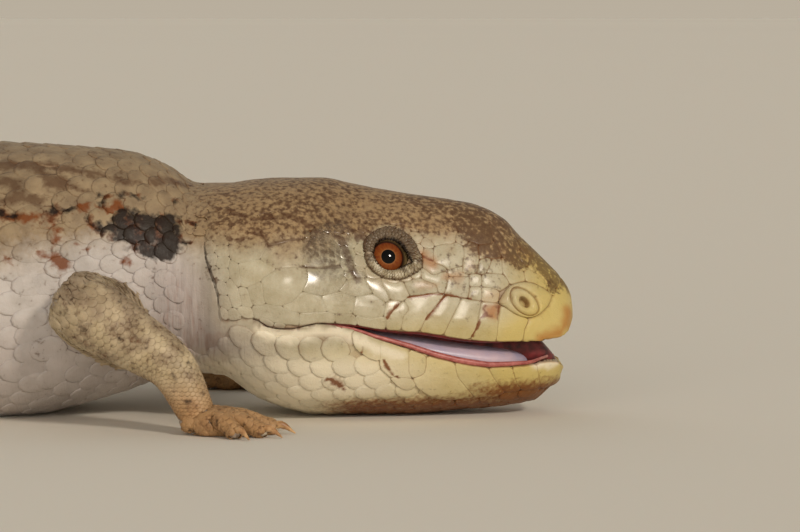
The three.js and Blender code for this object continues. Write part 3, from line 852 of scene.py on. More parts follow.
def marksOf(distance, turn, points):
    # every marking of the body at these places, each from 0 to 1
    distance, turn = np.asarray(distance, float), np.mod(turn, 1)
    half = halfTurn(turn) * 2
    level = points[:, 2]
    patch = patchy(points, pattern["noiseSize"])
    streak = patchy(points * (1, 1, 1.6), pattern["streakSize"])
    wide = patchy(points, 9)
    found = strokeMarks(distance, turn, points)
    behind = smoothstep(distance, 92, 99)
    ring, core = np.zeros((2, len(distance)))
    for station in pattern["bands"]:
        away = np.abs(distance - (station + (wide - 0.5) * 9 + (half - 0.3) * 8))
        reach = pattern["bandHalfLong"] * (1 + (patch - 0.5) * 1.5) * (0.8 if station > 330 else 1)
        ring = np.maximum(ring, 1 - smoothstep(away, reach * 0.7, reach * 1.15))
        core = np.maximum(core, 1 - smoothstep(away, reach * 0.2, reach * 0.7))

    def add(kind, amount):
        found[kind] = np.maximum(found[kind], amount)

    onBack = 1 - smoothstep(half, pattern["backReach"], pattern["backReach"] + 0.1)
    onFlank = bell(half, pattern["flankMiddle"], pattern["flankReach"])
    tail = smoothstep(distance, 318, 340)
    lowFlank = bell(half, 0.6, 0.12) * (1 - tail)
    dark = (onFlank * 1.5 * smoothstep(patch, 0.22, 0.5) + onBack * smoothstep(streak, 0.35, 0.6) * 0.85
            + tail * smoothstep(patch, 0.2, 0.45) * (1 - smoothstep(half, 0.7, 0.85)))
    rust = (ring * lowFlank * smoothstep(patch, 0.45, 0.75) * 0.8
            + core * onFlank * 0.8 * smoothstep(patch, 0.45, 0.7) * (1 - tail))
    brown = (1 - ring) * onBack * smoothstep(streak, 0.62, 0.8) * 0.55 + ring * onBack * 0.7
    add("dark", ring * np.clip(dark, 0, 1) * behind)
    add("rust", np.clip(rust, 0, 1) * behind)
    add("brown", brown * behind)
    edge = 0.4 + (wide - 0.5) * 0.12
    ground = 1 - smoothstep(half, edge - 0.09, edge + 0.07)
    onHead = 1 - smoothstep(distance, 56, 66)
    fading = 1.6 + 4.5 * smoothstep(distance, 36, 44)
    top = smoothstep(level - crownEdge(distance) + (patch - 0.5) * 3, -fading, 1.6)
    found["ground"] = ground * (1 - onHead) + top * onHead
    found["head"] = onHead
    snout = 1 - smoothstep(distance + (level - 14) * 0.25 * (level > 14), 4.5, 17)
    jaw = (1 - smoothstep(level, 9, 14)) * (1 - smoothstep(distance, 36, 50))
    lips = bell(level, 13.5, 3.5) * (1 - smoothstep(distance, 22, 40)) * 0.55
    found["yellow"] = np.clip(snout + jaw * 0.62 + lips, 0, 1) * onHead
    neck = bell(distance, 64, 6.5) * smoothstep(half, 0.36, 0.5)
    rear = smoothstep(distance, 44, 56) * (1 - smoothstep(level, 11, 20)) * (1 - behind)
    found["pink"] = np.clip(neck + rear * 0.6, 0, 1)
    loreal = bell(distance, 18, 12) * bell(level, 24, 5) * 0.6
    # orange-brown under the chin's tip, and a band along the lowest edge of the jaw that is partly the
    # jaw's own orange-brown and partly painted shade close to the floor
    jawUnderRustAndShade = np.maximum((1 - smoothstep(level, 4, 8)) * (1 - smoothstep(distance, 9, 25)),
                          (1 - smoothstep(level, 2.2, 5)) * (1 - smoothstep(distance, 34, 48)) * 0.9)
    add("rust", jawUnderRustAndShade * 0.9)
    # the pale throat and jaw underside: partly the skin's own pale colour, partly painted bounce light on
    # skin that faces down
    throatPaleAndBounce = smoothstep(distance, 16, 40) * (1 - smoothstep(level, 8.5, 13)) * onHead
    add("milk", np.clip(throatPaleAndBounce * 1.15, 0, 1) * (1 - jawUnderRustAndShade))
    bits = found["dark"] * smoothstep(patchy(points * (1, 1, 0.4), 0.8), 0.45, 0.7) * (1 - behind)
    add("rust", bits)
    found["dark"] -= bits * 0.35
    found["damp"] *= (0.35 + 0.65 * smoothstep(level, 22.8, 24.2)) * (0.5 + 0.7 * streak)
    add("amber", loreal * smoothstep(streak, 0.5, 0.8))
    front = 1 + 0.8 * (1 - smoothstep(distance, 12, 34))
    found["fleck"] = np.maximum(top * front, loreal) * onHead + 0.3 * ground * (1 - onHead)
    return found


def scaleRoots(surface, rows, start, end, stretch=0.97, halves=(0, 1), finer=0.0):
    # roots of scales in alternate rows: place, turn, length and width of each;
    # finer makes the rows narrower on the flanks and wider on back and belly
    roots = []
    station, k = float(start), 0
    while station < end:
        wide = surface.girth(station) / rows
        long = wide * stretch
        even = (np.arange(k % 2, rows, 2) + 0.5) / rows
        turns = even + finer * np.sin(4 * math.pi * even) / (4 * math.pi)
        widths = wide * (1 + finer * np.cos(4 * math.pi * even))
        half = halfTurn(turns) * 2
        kept = (half >= halves[0]) & (half <= halves[1])
        roots += [(station, turn, long, width) for turn, width in zip(turns[kept], widths[kept])]
        station += long / 2
        k += 1
    return np.array(roots).reshape(-1, 4)


scaleForm = {"sides": 12, "rings": (0.5, 0.86, 1.0, 1.0), "power": 2.1, "front": 0.66,
             "rear": 0.68, "aside": 0.76}


def oneScale():
    # a flat rounded scale: a runs to the free edge, b across, and share from middle to rim
    around = np.arange(scaleForm["sides"]) / scaleForm["sides"] * 2 * math.pi
    power = 2 / scaleForm["power"]
    along = np.sign(np.cos(around)) * np.abs(np.cos(around)) ** power
    along = along * np.where(along > 0, scaleForm["rear"], scaleForm["front"])
    across = np.sign(np.sin(around)) * np.abs(np.sin(around)) ** power * scaleForm["aside"]
    rings = scaleForm["rings"]
    a = np.concatenate([[0], *[along * r for r in rings]])
    b = np.concatenate([[0], *[across * r for r in rings]])
    share = np.concatenate([[0], *[np.full(len(around), r) for r in rings]])
    under = np.concatenate([[0], *[np.full(len(around), n == len(rings) - 1) for n in range(len(rings))]])
    n = len(around)
    nearby = np.arange(n)
    after = (nearby + 1) % n
    threes = np.stack([0 * nearby, 1 + nearby, 1 + after], -1)
    fours = np.concatenate([
        np.stack([1 + r * n + nearby, 1 + (r + 1) * n + nearby, 1 + (r + 1) * n + after,
                  1 + r * n + after], -1) for r in range(len(rings) - 1)])
    return a, b, share, under, threes, fours


def joinedMesh(name, points, threes, fours, values, marks, walls):
    mesh = bpy.data.meshes.new(name)
    mesh.vertices.add(len(points))
    mesh.vertices.foreach_set("co", (points * 0.001).astype(np.float32).ravel())
    corners = np.concatenate([threes.ravel(), fours.ravel()]).astype(np.int32)
    starts = np.concatenate([np.arange(len(threes)) * 3,
                             len(threes) * 3 + np.arange(len(fours)) * 4]).astype(np.int32)
    mesh.loops.add(len(corners))
    mesh.loops.foreach_set("vertex_index", corners)
    mesh.polygons.add(len(starts))
    mesh.polygons.foreach_set("loop_start", starts)
    mesh.update(calc_edges=True)
    mesh.validate()
    # the thin sides are shaded apart from the tops, so that the rims stay clean
    smooth = np.concatenate([np.ones(len(threes), bool), ~walls])
    mesh.polygons.foreach_set("use_smooth", smooth)
    bake = mesh.uv_layers.new(name="OFBake")
    bake.data.foreach_set("uv", values[corners].astype(np.float32).ravel())
    for key, value in marks.items():
        setValue(mesh, key, value)
    return linkPiece(name, mesh)


bakePatch = 0.003       # how wide one scale's patch is on the bake map


def inSkin(points, deep, clear):
    # which of these places lie deeper than this under the finished skin, or too clear of it
    hidden = np.zeros(len(points), bool)
    for n, point in enumerate(points):
        spot, normal, _, _ = tree.find_nearest(Vector(point))
        above = (Vector(point) - spot).dot(normal)
        hidden[n] = above < -deep or above > clear
    return hidden


usualLook = {"hideDeep": 0.9, "clear": 1.3, "uneven": 0.04, "slant": 0, "turned": 0.05,
             "lifted": 0.03, "moving": 2.5}


def layScales(name, surface, roots, look, marker, seed):
    draw, look = np.random.default_rng(seed), {**usualLook, **look}
    hidden = inSkin(surface.place(*roots[:, :2].T), look["hideDeep"], look["clear"])
    roots = roots[~hidden]
    count = len(roots)
    a, b, share, under, threes, fours = oneScale()
    size = 1 + draw.normal(0, look["uneven"], (count, 1))
    lean = np.where(np.mod(roots[:, 1:2], 1) < 0.5, 1, -1) * look["slant"]
    turn = draw.normal(0, look["turned"], (count, 1)) + lean
    along = (a * np.cos(turn) - b * np.sin(turn)) * roots[:, 2:3] * size
    across = (a * np.sin(turn) + b * np.cos(turn)) * roots[:, 3:4] * size
    s = roots[:, :1] + along
    wide = surface.girth(s)
    t = roots[:, 1:2] + across / wide
    rise = (a + scaleForm["front"]) / (scaleForm["front"] + scaleForm["rear"])
    lift = look["front"] + (look["rear"] - look["front"]) * rise ** 1.3
    lift = lift + look["crown"] * (1 - share ** 2) - look["thick"] * under
    lift = lift - 0.3 * look["thick"] * (share == 1) * (1 - under)
    lift = lift[None] + draw.normal(0, look["lifted"], (count, 1))
    laid = surface.place(s, t, lift)
    points = nearSkin(laid.reshape(-1, 3), lift.ravel())
    moved = np.linalg.norm(points.reshape(laid.shape) - laid, axis=-1).max(1)
    held = moved < look["moving"]     # those torn between two surfaces are left out
    points = points.reshape(laid.shape)[held].reshape(-1, 3)
    s, t, lift, roots, count = s[held], t[held], lift[held], roots[held], int(held.sum())
    points[:, 2] = np.maximum(points[:, 2], 0.05)
    if "underLip" in look:
        points[:, 2] = np.minimum(points[:, 2], lowerEdge(s.ravel()) - look["underLip"])
    steps = np.arange(count)[:, None, None] * len(a)
    bake = surface.patch(*roots[:, :2].T)[:, None] + np.stack([a, b], -1)[None] * bakePatch * 0.8
    marks = marker(s.ravel(), t.ravel(), points)
    for key in ("dark", "rust", "brown"):      # a scale mostly has the colour of its middle
        own = marks[key].reshape(count, -1)
        marks[key] = (own * 0.75 + own[:, :1] * 0.25).ravel()
    rim = smoothstep(share, 0.8, 1.0)
    faint = np.maximum(marks["pink"] * 0.8, np.maximum(marks["dark"] * 0.9, marks.get("milk", 0)))
    marks["edge"] = np.tile(np.maximum(rim, under), count) * (1 - faint)
    marks["tone"] = np.repeat(draw.normal(0, 1, count), len(a))
    walls = np.tile(under[fours].any(1), count)
    return joinedMesh(name, points, (threes[None] + steps).reshape(-1, 3),
                      (fours[None] + steps).reshape(-1, 4), bake.reshape(-1, 2), marks, walls)


def nearSkin(points, lift):
    # near the joins a scale goes with the softened skin
    moved = points.copy()
    for n, point in enumerate(points):
        spot, normal, _, _ = tree.find_nearest(Vector(point), 6.0)
        if spot is None:
            continue
        off = (Vector(point) - spot).dot(normal) - skinLook["sunk"] - lift[n]
        if abs(off) > 0.25:
            moved[n] = np.array(spot) + np.array(normal) * (skinLook["sunk"] + lift[n])
    return moved


def limbMarks(distance, turn, points):
    patch, height = patchy(points, 2.4), points[:, 2]
    blank = np.zeros(len(points))
    return {"dark": smoothstep(patchy(points, 1.1), 0.62, 0.9) * 0.45,
            "rust": smoothstep(patch, 0.7, 0.9) * 0.25, "brown": smoothstep(patch, 0.5, 0.8) * 0.45,
            "ground": 0.2 + 0.4 * smoothstep(patch, 0.3, 0.7) + 0.4 * smoothstep(height, 14, 22),
            "yellow": 1 - smoothstep(height, 3, 11), "pink": blank, "fleck": blank + 0.35}


# Shields of the head. Pixels of the photograph give the right side's; the left mirrors it.
plateForm = {
    "step": 0.5, "gap": -0.08, "height": 0.15, "crown": 0.06, "under": 0.45, "inside": 0.65,
    # inset in mm, share of the height and darkness of the rim, ring by ring
    "rims": ((0, 0.1, 1), (0.08, 0.5, 1), (0.17, 0.88, 0.2), (0.3, 1.0, 0)),
}
sideShields = {
    "temporals": """
    263.5,221 290,214.9 301.2,220 310.4,231.2 302.2,237.3 270.6,245.5 266.5,240.4 260.4,230.2 /
    269.6,246.5 300.2,239.4 303.3,250.6 302.2,265.9 281.8,267.4 275.7,268 263.5,262.3 263,254.7 /
    233.9,243.5 260.4,232.2 266.5,243.5 261.9,254.7 249.2,258.8 237.4,262.9 232.9,251.6 / 239,224
    259.4,223 260,231 233.9,243.5 227.8,238.4 / 238.5,263.9 261.4,261.8 276.7,269 262.4,278 247,287.3
    241,284.3 / 276.7,269 305.3,268 307.3,278.2 300.2,292.4 292,300.6 273.7,302.7 263.5,297.6
    262.4,278 / 247,287 261.4,283.3 263.5,297.6 258,305 252,303.7 / 233,264 238.5,264 241,284 236,287
    231,276 / 230,279 237,288 242,303 236,304 230,292 / 238,289 247,289 252,304.5 243,306""",
    "cheek": """
    304,240 323,237 334,243 337,265 321,268 303.5,266 / 307,269 322,269 338,266.5 346,279 337,291
    320,295 303,291 308.5,279 / 294,302 303,293 321,297 326,311 300,312 285,309 / 322,297 339,293
    354,297 352,313 328,311.5 / 356,297 374,295 384,303 383,315 370,318 354,314 / 340,291 348,280
    364,281 372,292 356,295.5 / 366,281 381,284 388,295 386,301.5 375,294 / 383,284 403,284 408,295
    402,300.5 390,296 / 405,283 424,281 436,285 437,291.5 411,295.5""",
    # from the rear to the front
    "upperLabials": """
    255,307.5 285,310 299,313.5 299,322 287,321.5 269.6,318 256,313 / 300,313.5 327,313 334,315
    335,322.8 316,320.5 300,322.5 / 336,315 354,315.5 357,324.6 336,323.8 / 355.5,315.5 369,320
    384,317.5 385.2,329.6 358,325.4 / 386,303.5 401,302.5 395,307.5 386.4,318.8 386.3,330 385.2,318 /
    403.5,302 409,309.6 402.6,316 400.5,330.9 386.9,329.8 387,319 396,307.5 / 410.9,297 437.5,293.6
    443.9,295.4 433,308 424.5,319.5 418.5,332.6 401.3,331 403.4,316.4 410.2,309.6 405.5,301 /
    444.9,295.6 460.6,298.6 452,316 443.8,334 441.5,336.2 419.4,332.7 425.6,319.8 434,308.4 /
    461.5,299 480.3,302 476.3,326.5 468,341 442.6,336.4 453,316.4 / 481.3,302.4 498.4,304 500.2,305.6
    497.9,320.7 495.6,342.6 469,341.2 477.4,327 / 501.2,306 504.6,307.4 513.3,313.8 526.5,318.6
    523.4,329.3 521.9,343 496.5,342.7 498.9,321""",
    "betweenEyeAndNose": """
    444.4,294 446.7,285.3 448.2,277.2 469.2,277.2 468.8,288.2 467.8,298.4 444.6,294.6 / 469.7,287.2
    480.7,287.2 480.7,300.5 468.3,298.6 / 481.2,287.2 497.4,290.6 497,302.6 481.6,301 / 481.2,275.7
    506.6,275.7 509,284.3 498.5,289.5 481.2,286.4 / 469.9,275 480.6,275.6 480.6,286.6 469.6,286.6 /
    434,251.8 443.2,245 456.5,246 464.2,251 462,265.8 448,269.6 443.9,265.8 434,263 / 464.9,249.6
    476,241.2 478.2,260.2 476,272.6 462.6,272.8 / 479,247.5 497.2,240.5 502,253.2 499.6,257.6
    488,256.4 479.3,259.4 / 479.3,260.6 487.6,257.4 490.5,263 485.6,272.4 478,274 / 491.3,262.8
    500.2,259 502.4,274.2 486.6,272.8 / 425,247 433.5,252.5 433.4,263 443,266.6 446.6,270.5 433,275
    424.5,268 / 447.4,270.6 461.6,266.8 461.8,273.6 469,276 448.4,276.4 / 424.4,269 432.6,276
    447,271.2 447.4,277 445.8,285 443.6,293.8 437.6,291 436.6,284.4 424.6,280.4 / 503.2,274.6
    502.4,258.6 511,255.4 523,267 524,280.4 509.4,284 / 503,253.4 498.4,240 511,244 530,255 539,268
    524,266.4 512,254.6 / 524.6,267.4 539.4,269 549,281 547,290.6 535.6,283.4 525,280.8""",
}
# lower lip shields, down to the lower border of the row
lowerShields = """
    537,364.3 549.6,361.9 560,361 561.5,368 559,379 549,385 541,385.6 / 512.8,368 536,365 540,385.8
    521.4,388.9 516.5,381 / 488.9,368.2 511.8,368 515.5,381 520.4,389 505,391.4 495.5,380 /
    454.9,363.6 472,367.4 487.9,368.4 494.5,380 504,391.4 497,394.8 474.4,396 463.5,383 458.3,377.2 /
    426,358 440,360.4 454,363.6 457.3,377.2 462.5,383 473.4,396 449.1,399 439.6,398.2 431.2,394.6
    415.8,384 412.9,378.9 425,374.4 426.1,367 / 409.3,351.4 425,357.4 425,367 423.6,373.8 412.7,377.9
    409,372.8 / 381,343 408.4,351 408.2,365.8 407.8,372.8 411.6,378 392.2,376.4 383.4,368.6
    381.2,359.5 / 392.4,377.6 411.8,378.6 415,384.6 411.6,387.6 406.7,389 399.8,386.2 / 354,333
    380,342.6 380.2,359.5 370,357 357,347"""
# shields on top of the head: distance from the snout and distance aside, right half
middleShields = """
    8.9,0 9.4,3.2 11.8,5.2 14.2,4.6 15.6,0 / 18.5,0 20.8,3.3 25.4,4.3 30.2,3.6 32.1,2 33.2,0 / 37,0
    38.3,2.3 41.2,3.1 46,1.7 47.4,0"""
topShields = """
    2.6,0.12 2.9,3.4 4.6,5.2 7.4,5.9 9.2,3.2 8.7,0.12 / 7.8,6.1 9.5,3.4 11.7,5.4 13.9,4.8 12.9,7.6
    10,8 / 15.8,0.12 14.4,4.6 13.3,7.6 16.6,8.8 19.5,7.6 20.6,3.4 18.4,0.12 / 19.7,7.8 20.9,3.6
    25.2,4.6 25.4,9.9 22.6,10.6 20.4,9.9 / 25.5,4.6 30.1,3.9 31.3,10.1 25.7,10 / 30.4,3.8 32.2,2.3
    35.4,4.7 36.1,9.7 31.6,10.1 / 33.4,0.12 32.3,2 35.6,4.5 38.6,4.2 38,2.4 36.9,0.12 / 38.9,4.3
    41.3,3.4 46.2,1.9 47.6,0.12 50.9,0.12 51.9,5 50.4,9.6 44,11.6 38.6,10.2 36.4,7.8 35.8,5 /
    51.1,0.12 52.1,5 51.2,8.9 55.4,9.4 56,0.12 / 56.2,0.12 55.6,9.4 59.6,9.2 60.2,0.12 / 50.7,9.9
    51.1,9.1 55.2,9.6 55.6,14 49.4,14.2 46,11.6 / 36.4,10 38.5,10.5 43.8,11.9 43,14.6 38.4,14.2 /
    44,12 46,11.9 49.2,14.4 48.4,17 43.2,16.6 43.2,14.8"""


def fromTop(text):
    # places seen from above, as distances from the snout and turns
    found = []
    for distance, aside in pairs(text):
        turns = np.linspace(0, 0.25, 200)
        spots = trunk.place(np.full(200, distance), turns)
        place, _, right = spine(np.full(200, distance))
        out = ((spots - place) * right).sum(-1)
        found.append((distance, float(np.interp(aside, np.maximum.accumulate(out), turns))))
    return np.array(found)


# Every place of the head belongs to the nearest shield, so that all share their borders
shieldMap = {
    "step": 0.2, "start": 2.0, "end": 63.0, "columns": 320,
    "small": 2.1, "smallRoom": 0.5, "smallReach": 0.62,     # the small scales between, mm
    "looseFrom": 59, "looseReach": 0.75, "lipRoom": 0.16, "earRoom": 0.34, "lidRoom": 0.12,
    "belowLip": 0.3, "softening": 7,
}


def smallSeeds():
    # uneven places for the small scales
    draw = np.random.default_rng(5)
    spacing = shieldMap["small"]
    seeds = []
    for k, station in enumerate(np.arange(4, shieldMap["end"], spacing * 0.87)):
        across = float(trunk.girth(station))
        turns = (np.arange(int(across * 0.38 / spacing)) + 0.5 * (k % 2) + 0.3) * spacing / across
        jitter = draw.normal(0, 0.12 * spacing, (len(turns), 2))
        seeds += [(station + a, turn + b / across) for turn, (a, b) in zip(turns, jitter)]
    return np.array(seeds)


def mapShields(outlines, lowerOnes):
    # the number of the shield that holds each cell of a grid over the right side
    grid = shieldMap
    rows = int((grid["end"] - grid["start"]) / grid["step"])
    stations = grid["start"] + (np.arange(rows) + 0.5) * grid["step"]
    turns = (np.arange(grid["columns"]) + 0.5) / grid["columns"] / 2
    spots = np.stack(np.meshgrid(stations, turns, indexing="ij"), -1).reshape(-1, 2)
    distance, turn = spots.T
    across = trunk.girth(distance)
    level = trunk.place(distance, turn)[:, 2]
    best, owner = np.full(len(spots), 98.0), np.full(len(spots), -1)
    above = level > line["upperLip"](distance) + grid["lipRoom"]
    below = level < lowerEdge(distance) - grid["lipRoom"] * 0.5
    for n, outline in enumerate([*outlines, *lowerOnes]):
        low, high = outline.min(0) - (3, 3 / 30), outline.max(0) + (3, 3 / 30)
        side, room = (above, 98) if n < len(outlines) else (below, grid["belowLip"])
        near = np.flatnonzero(side & (spots > low).all(1) & (spots < high).all(1))
        gap = gapTo(spots[near], across[near], outline)
        taken = gap < np.minimum(best[near], room)
        best[near[taken]], owner[near[taken]] = gap[taken], n
    count = len(outlines) + len(lowerOnes)
    free = best.copy()
    for station, place in smallSeeds():
        gap = np.abs(turn - place) * across
        near = np.flatnonzero(above & (np.abs(distance - station) < 3) & (gap < 3))
        if not len(near):
            continue
        gap = np.hypot(distance[near] - station, gap[near])
        if free[near[gap.argmin()]] < grid["smallRoom"]:
            continue
        gap = gap - grid["smallReach"]
        taken = gap < best[near]
        best[near[taken]], owner[near[taken]] = gap[taken], count
        count += 1
    inLids = gapTo(spots, across, closedCurve(onSkin(eyes["fold"]), 60)) < grid["lidRoom"]
    bare = bareness(distance, turn) > 0.01
    behind = (distance > slitAt(turn) - grid["earRoom"]) & (turn > earPlaces[:, 1].min() - 0.01)
    loose = best > np.where(distance > grid["looseFrom"], grid["looseReach"], 2.2)
    owner[inLids | bare | behind | loose] = -1
    return owner.reshape(len(stations), -1), count


def borderOf(cells):
    # the longest border of a patch of cells, corner by corner
    patch = np.pad(cells, 1)
    following = {}
    sides = (((0, -1), (0, 0), (1, 0)), ((1, 0), (1, 0), (1, 1)),
             ((0, 1), (1, 1), (0, 1)), ((-1, 0), (0, 1), (0, 0)))
    for (up, over), first, second in sides:
        beside = np.roll(patch, (-up, -over), (0, 1))
        for i, j in np.argwhere(patch & ~beside):
            following[(i + first[0], j + first[1])] = (i + second[0], j + second[1])
    longest = []
    while following:
        corner = next(iter(following))
        loop = []
        while corner in following:
            loop.append(corner)
            corner = following.pop(corner)
        longest = max(longest, loop, key=len)
    return np.array(longest, float) - 1


def evenly(points, step):
    # a closed line with its points this far apart
    ends = np.concatenate([points, points[:1]])
    run = gone(ends)
    return readLine(np.linspace(0, run[-1], max(8, round(run[-1] / step)), endpoint=False), run, ends)


def outlineOf(owner, number, crossing):
    # a shield's softened outline, as distances and turns, closed over the back if it crosses it
    rows, columns = np.nonzero(owner == number)
    if len(rows) < 30:
        return None
    low = (rows.min(), columns.min())
    corners = borderOf(owner[low[0]:rows.max() + 1, low[1]:columns.max() + 1] == number) + low
    corners = corners * (shieldMap["step"], 0.5 / shieldMap["columns"]) + (shieldMap["start"], 0)
    if crossing:
        middle = np.flatnonzero(corners[:, 1] < 1e-6)
        corners = np.roll(corners, -(middle[np.argmax(np.diff(middle, append=middle[0] + 9999) > 1)]
                                     + 1), 0)
        half = corners[corners[:, 1] > 1e-6]
        corners = np.concatenate([half, (half * (1, -1))[::-1]])
    across = float(trunk.girth(corners[:, 0].mean()))
    border = evenly(corners * (1, across), 0.18)
    for _ in range(shieldMap["softening"]):
        border = (np.roll(border, 1, 0) + border * 2 + np.roll(border, -1, 0)) / 4
    return evenly(border, plateForm["step"]), across


def plateOf(border, across, height):
    # a raised plate with a rounded rim: places, turns, lifts, rim darkness and faces
    way = unit(np.roll(border, -1, 0) - np.roll(border, 1, 0))
    area = (border[:, 0] * np.roll(border[:, 1], -1) - np.roll(border[:, 0], -1) * border[:, 1]).sum() / 2
    inward = np.stack([-way[:, 1], way[:, 0]], -1) * np.sign(area)
    around = np.linalg.norm(np.roll(border, -1, 0) - border, axis=1).sum()
    room = min(1, abs(area) * 2 / around / 1.1)
    count = len(border)
    rings = [border + inward * plateForm["gap"]]
    lifts, rims = [np.full(count, -plateForm["under"])], [np.ones(count)]
    for inset, share, dark in plateForm["rims"]:
        rings.append(border + inward * (plateForm["gap"] + inset * room))
        lifts.append(np.full(count, height * share))
        rims.append(np.full(count, float(dark)))
    inner, start = rings[-1], (len(rings) - 1) * count
    grid = innerGrid(inner, plateForm["inside"])
    deep = -gapTo(grid, np.ones(len(grid)), inner)
    grid, deep = grid[deep > 0.3], deep[deep > 0.3]
    edges = [(k, (k + 1) % count) for k in range(count)]
    found, _, faces, origins, _, _ = delaunay_2d_cdt(
        [Vector(spot) for spot in np.concatenate([inner, grid])], edges, [], 1, 1e-4)
    numbers, extra = [], []
    for spot, origin in zip(found, origins):
        numbers.append(start + (origin[0] if origin else count + len(grid) + len(extra)))
        if not origin:
            extra.append(spot)
    spots = np.concatenate([*rings, grid, np.reshape([list(e) for e in extra], (-1, 2))])
    tops = height + plateForm["crown"] * smoothstep(deep, 0, 1.5)
    lift = np.concatenate([*lifts, tops, np.full(len(extra), height)])
    rim = np.concatenate([*rims, np.zeros(len(grid) + len(extra))])
    _, fours = ringFaces(count, len(rings), area < 0)
    threes = np.array([[numbers[i] for i in face] for face in faces])
    return (spots / (1, across), lift, rim, threes, fours, inner.mean(0) / (1, across))


def innerGrid(outline, step):
    # places in alternate rows over an outline's box
    low, high = outline.min(0), outline.max(0)
    a, b = np.meshgrid(np.arange(low[0], high[0] + step, step),
                       np.arange(low[1], high[1] + step, step * 0.87), indexing="ij")
    a = a + step / 2 * (np.arange(a.shape[1]) % 2)
    return np.stack([a, b], -1).reshape(-1, 2)


def ringFaces(count, rings, turned):
    # the faces between rings of points, closed by one point in the middle
    k = np.arange(count)
    after = (k + 1) % count
    fours = np.concatenate([np.stack([r * count + k, r * count + after, (r + 1) * count + after,
                                      (r + 1) * count + k], -1) for r in range(rings - 1)])
    last = (rings - 1) * count
    threes = np.stack([last + k, last + after, 0 * k + rings * count], -1)
    return (threes[:, ::-1], fours[:, ::-1]) if turned else (threes, fours)


def mirroredPlate(plate):
    spots, lift, rim, threes, fours, middle = plate
    return (spots * (1, -1) + (0, 1), lift, rim, threes[:, ::-1], fours[:, ::-1],
            middle * (1, -1) + (0, 1))


def layPlates(name, plates, seed, lip=None):
    draw = np.random.default_rng(seed)
    spots, lifts, rims, walls, threes, fours, bakes, tones = ([] for _ in range(8))
    offset = 0
    for place, lift, rim, three, four, middle in plates:
        spots.append(place)
        lifts.append(lift + draw.normal(0, 0.012) * (lift > 0))
        rims.append(rim)
        walls.append((lift[four] < -0.3).any(1))
        threes.append(three + offset)
        fours.append(four + offset)
        reach = np.abs(place - middle).max(0) + 1e-6
        bakes.append(trunk.patch(*middle) + (place - middle) / reach * bakePatch / 2)
        tones.append(np.full(len(place), draw.normal(0, 1)))
        offset += len(place)
    spots, lifts, rims, walls, threes, fours, bakes, tones = (
        np.concatenate(part) for part in (spots, lifts, rims, walls, threes, fours, bakes, tones))
    distance, turn = spots.T
    points = trunk.place(np.maximum(distance, 0.02), turn, lifts)
    if lip == "upper":
        points[:, 2] = np.maximum(points[:, 2], line["upperLip"](distance) - 0.15)
    if lip == "lower":
        points[:, 2] = np.minimum(points[:, 2], lowerEdge(distance) + 0.12)
    points[:, 2] = np.maximum(points[:, 2], 0.05)
    fading = smoothstep(distance, 23, 35) * 0.72
    marks = {**marksOf(distance, turn, points), "tone": tones,
             "edge": rims * (1 - np.maximum(fading, 0.55 * (name == "shields_top")))}
    return joinedMesh(name, points, threes, fours, bakes, marks, walls)


# The nasal shield: a raised ring groove round the nostril, in pixels of the photograph
nasal = {
    "outline":
        "498.6,303 501.5,296 509.4,286.3 521.9,282.2 535.3,284.2 549.6,292.8 551.8,296.8 547.7,306.4 "
        "539.1,314 526.7,318 513.3,313.2 504.6,307.2",
    "middle": "523.4,302.6", "ring": (2.35, 2.1), "hole": 0.82,
    # share of the way from outline to ring, or size of the ring, with lift and darkness
    "outer": ((0, -0.45, 1), (0, 0.05, 1), (0.1, 0.3, 0.4), (0.3, 0.5, 0), (0.7, 0.66, 0),
              (0.86, 0.6, 0.2), (0.96, 0.35, 0.8)),
    "inner": ((1.0, 0.05, 1.2), (0.95, 0.35, 0.8), (0.84, 0.7, 0.1), (0.62, 0.85, 0),
              (0.42, 0.55, 0)),
    "pit": ((1.0, 0.35, 0.8), (0.9, -0.1, 1.4), (0.8, -0.7, 1.0), (0.45, -0.9, 0.4)),
}


def nasalPlate():
    corners, middle = onSkin(nasal["outline"]), onSkin(nasal["middle"])[0]
    scale = np.array([1, float(trunk.girth(middle[0]))])
    outline = closedCurve(corners, 56) * scale
    centre = middle * scale
    away = outline - centre
    angle = np.arctan2(away[:, 1], away[:, 0])
    wide, tall = nasal["ring"]
    ellipse = wide * tall / np.hypot(tall * np.cos(angle), wide * np.sin(angle))
    ray = np.stack([np.cos(angle), np.sin(angle)], -1)
    rings = [(outline + (centre + ray * ellipse[:, None] - outline) * share, lift, dark)
             for share, lift, dark in nasal["outer"]]
    rings += [(centre + ray * (ellipse * size)[:, None], lift, dark)
              for size, lift, dark in nasal["inner"]]
    rings += [(centre + ray * nasal["hole"] * size, lift, dark) for size, lift, dark in nasal["pit"]]
    count = len(outline)
    spots = np.concatenate([*[ring for ring, _, _ in rings], centre[None]]) / scale
    lift = np.concatenate([*[np.full(count, high) for _, high, _ in rings], [-0.7]])
    rim = np.concatenate([*[np.full(count, dark) for _, _, dark in rings], [0]])
    area = (outline[:, 0] * np.roll(outline[:, 1], -1) - np.roll(outline[:, 0], -1)
            * outline[:, 1]).sum()
    return spots, lift, rim, *ringFaces(count, len(rings), area < 0), middle


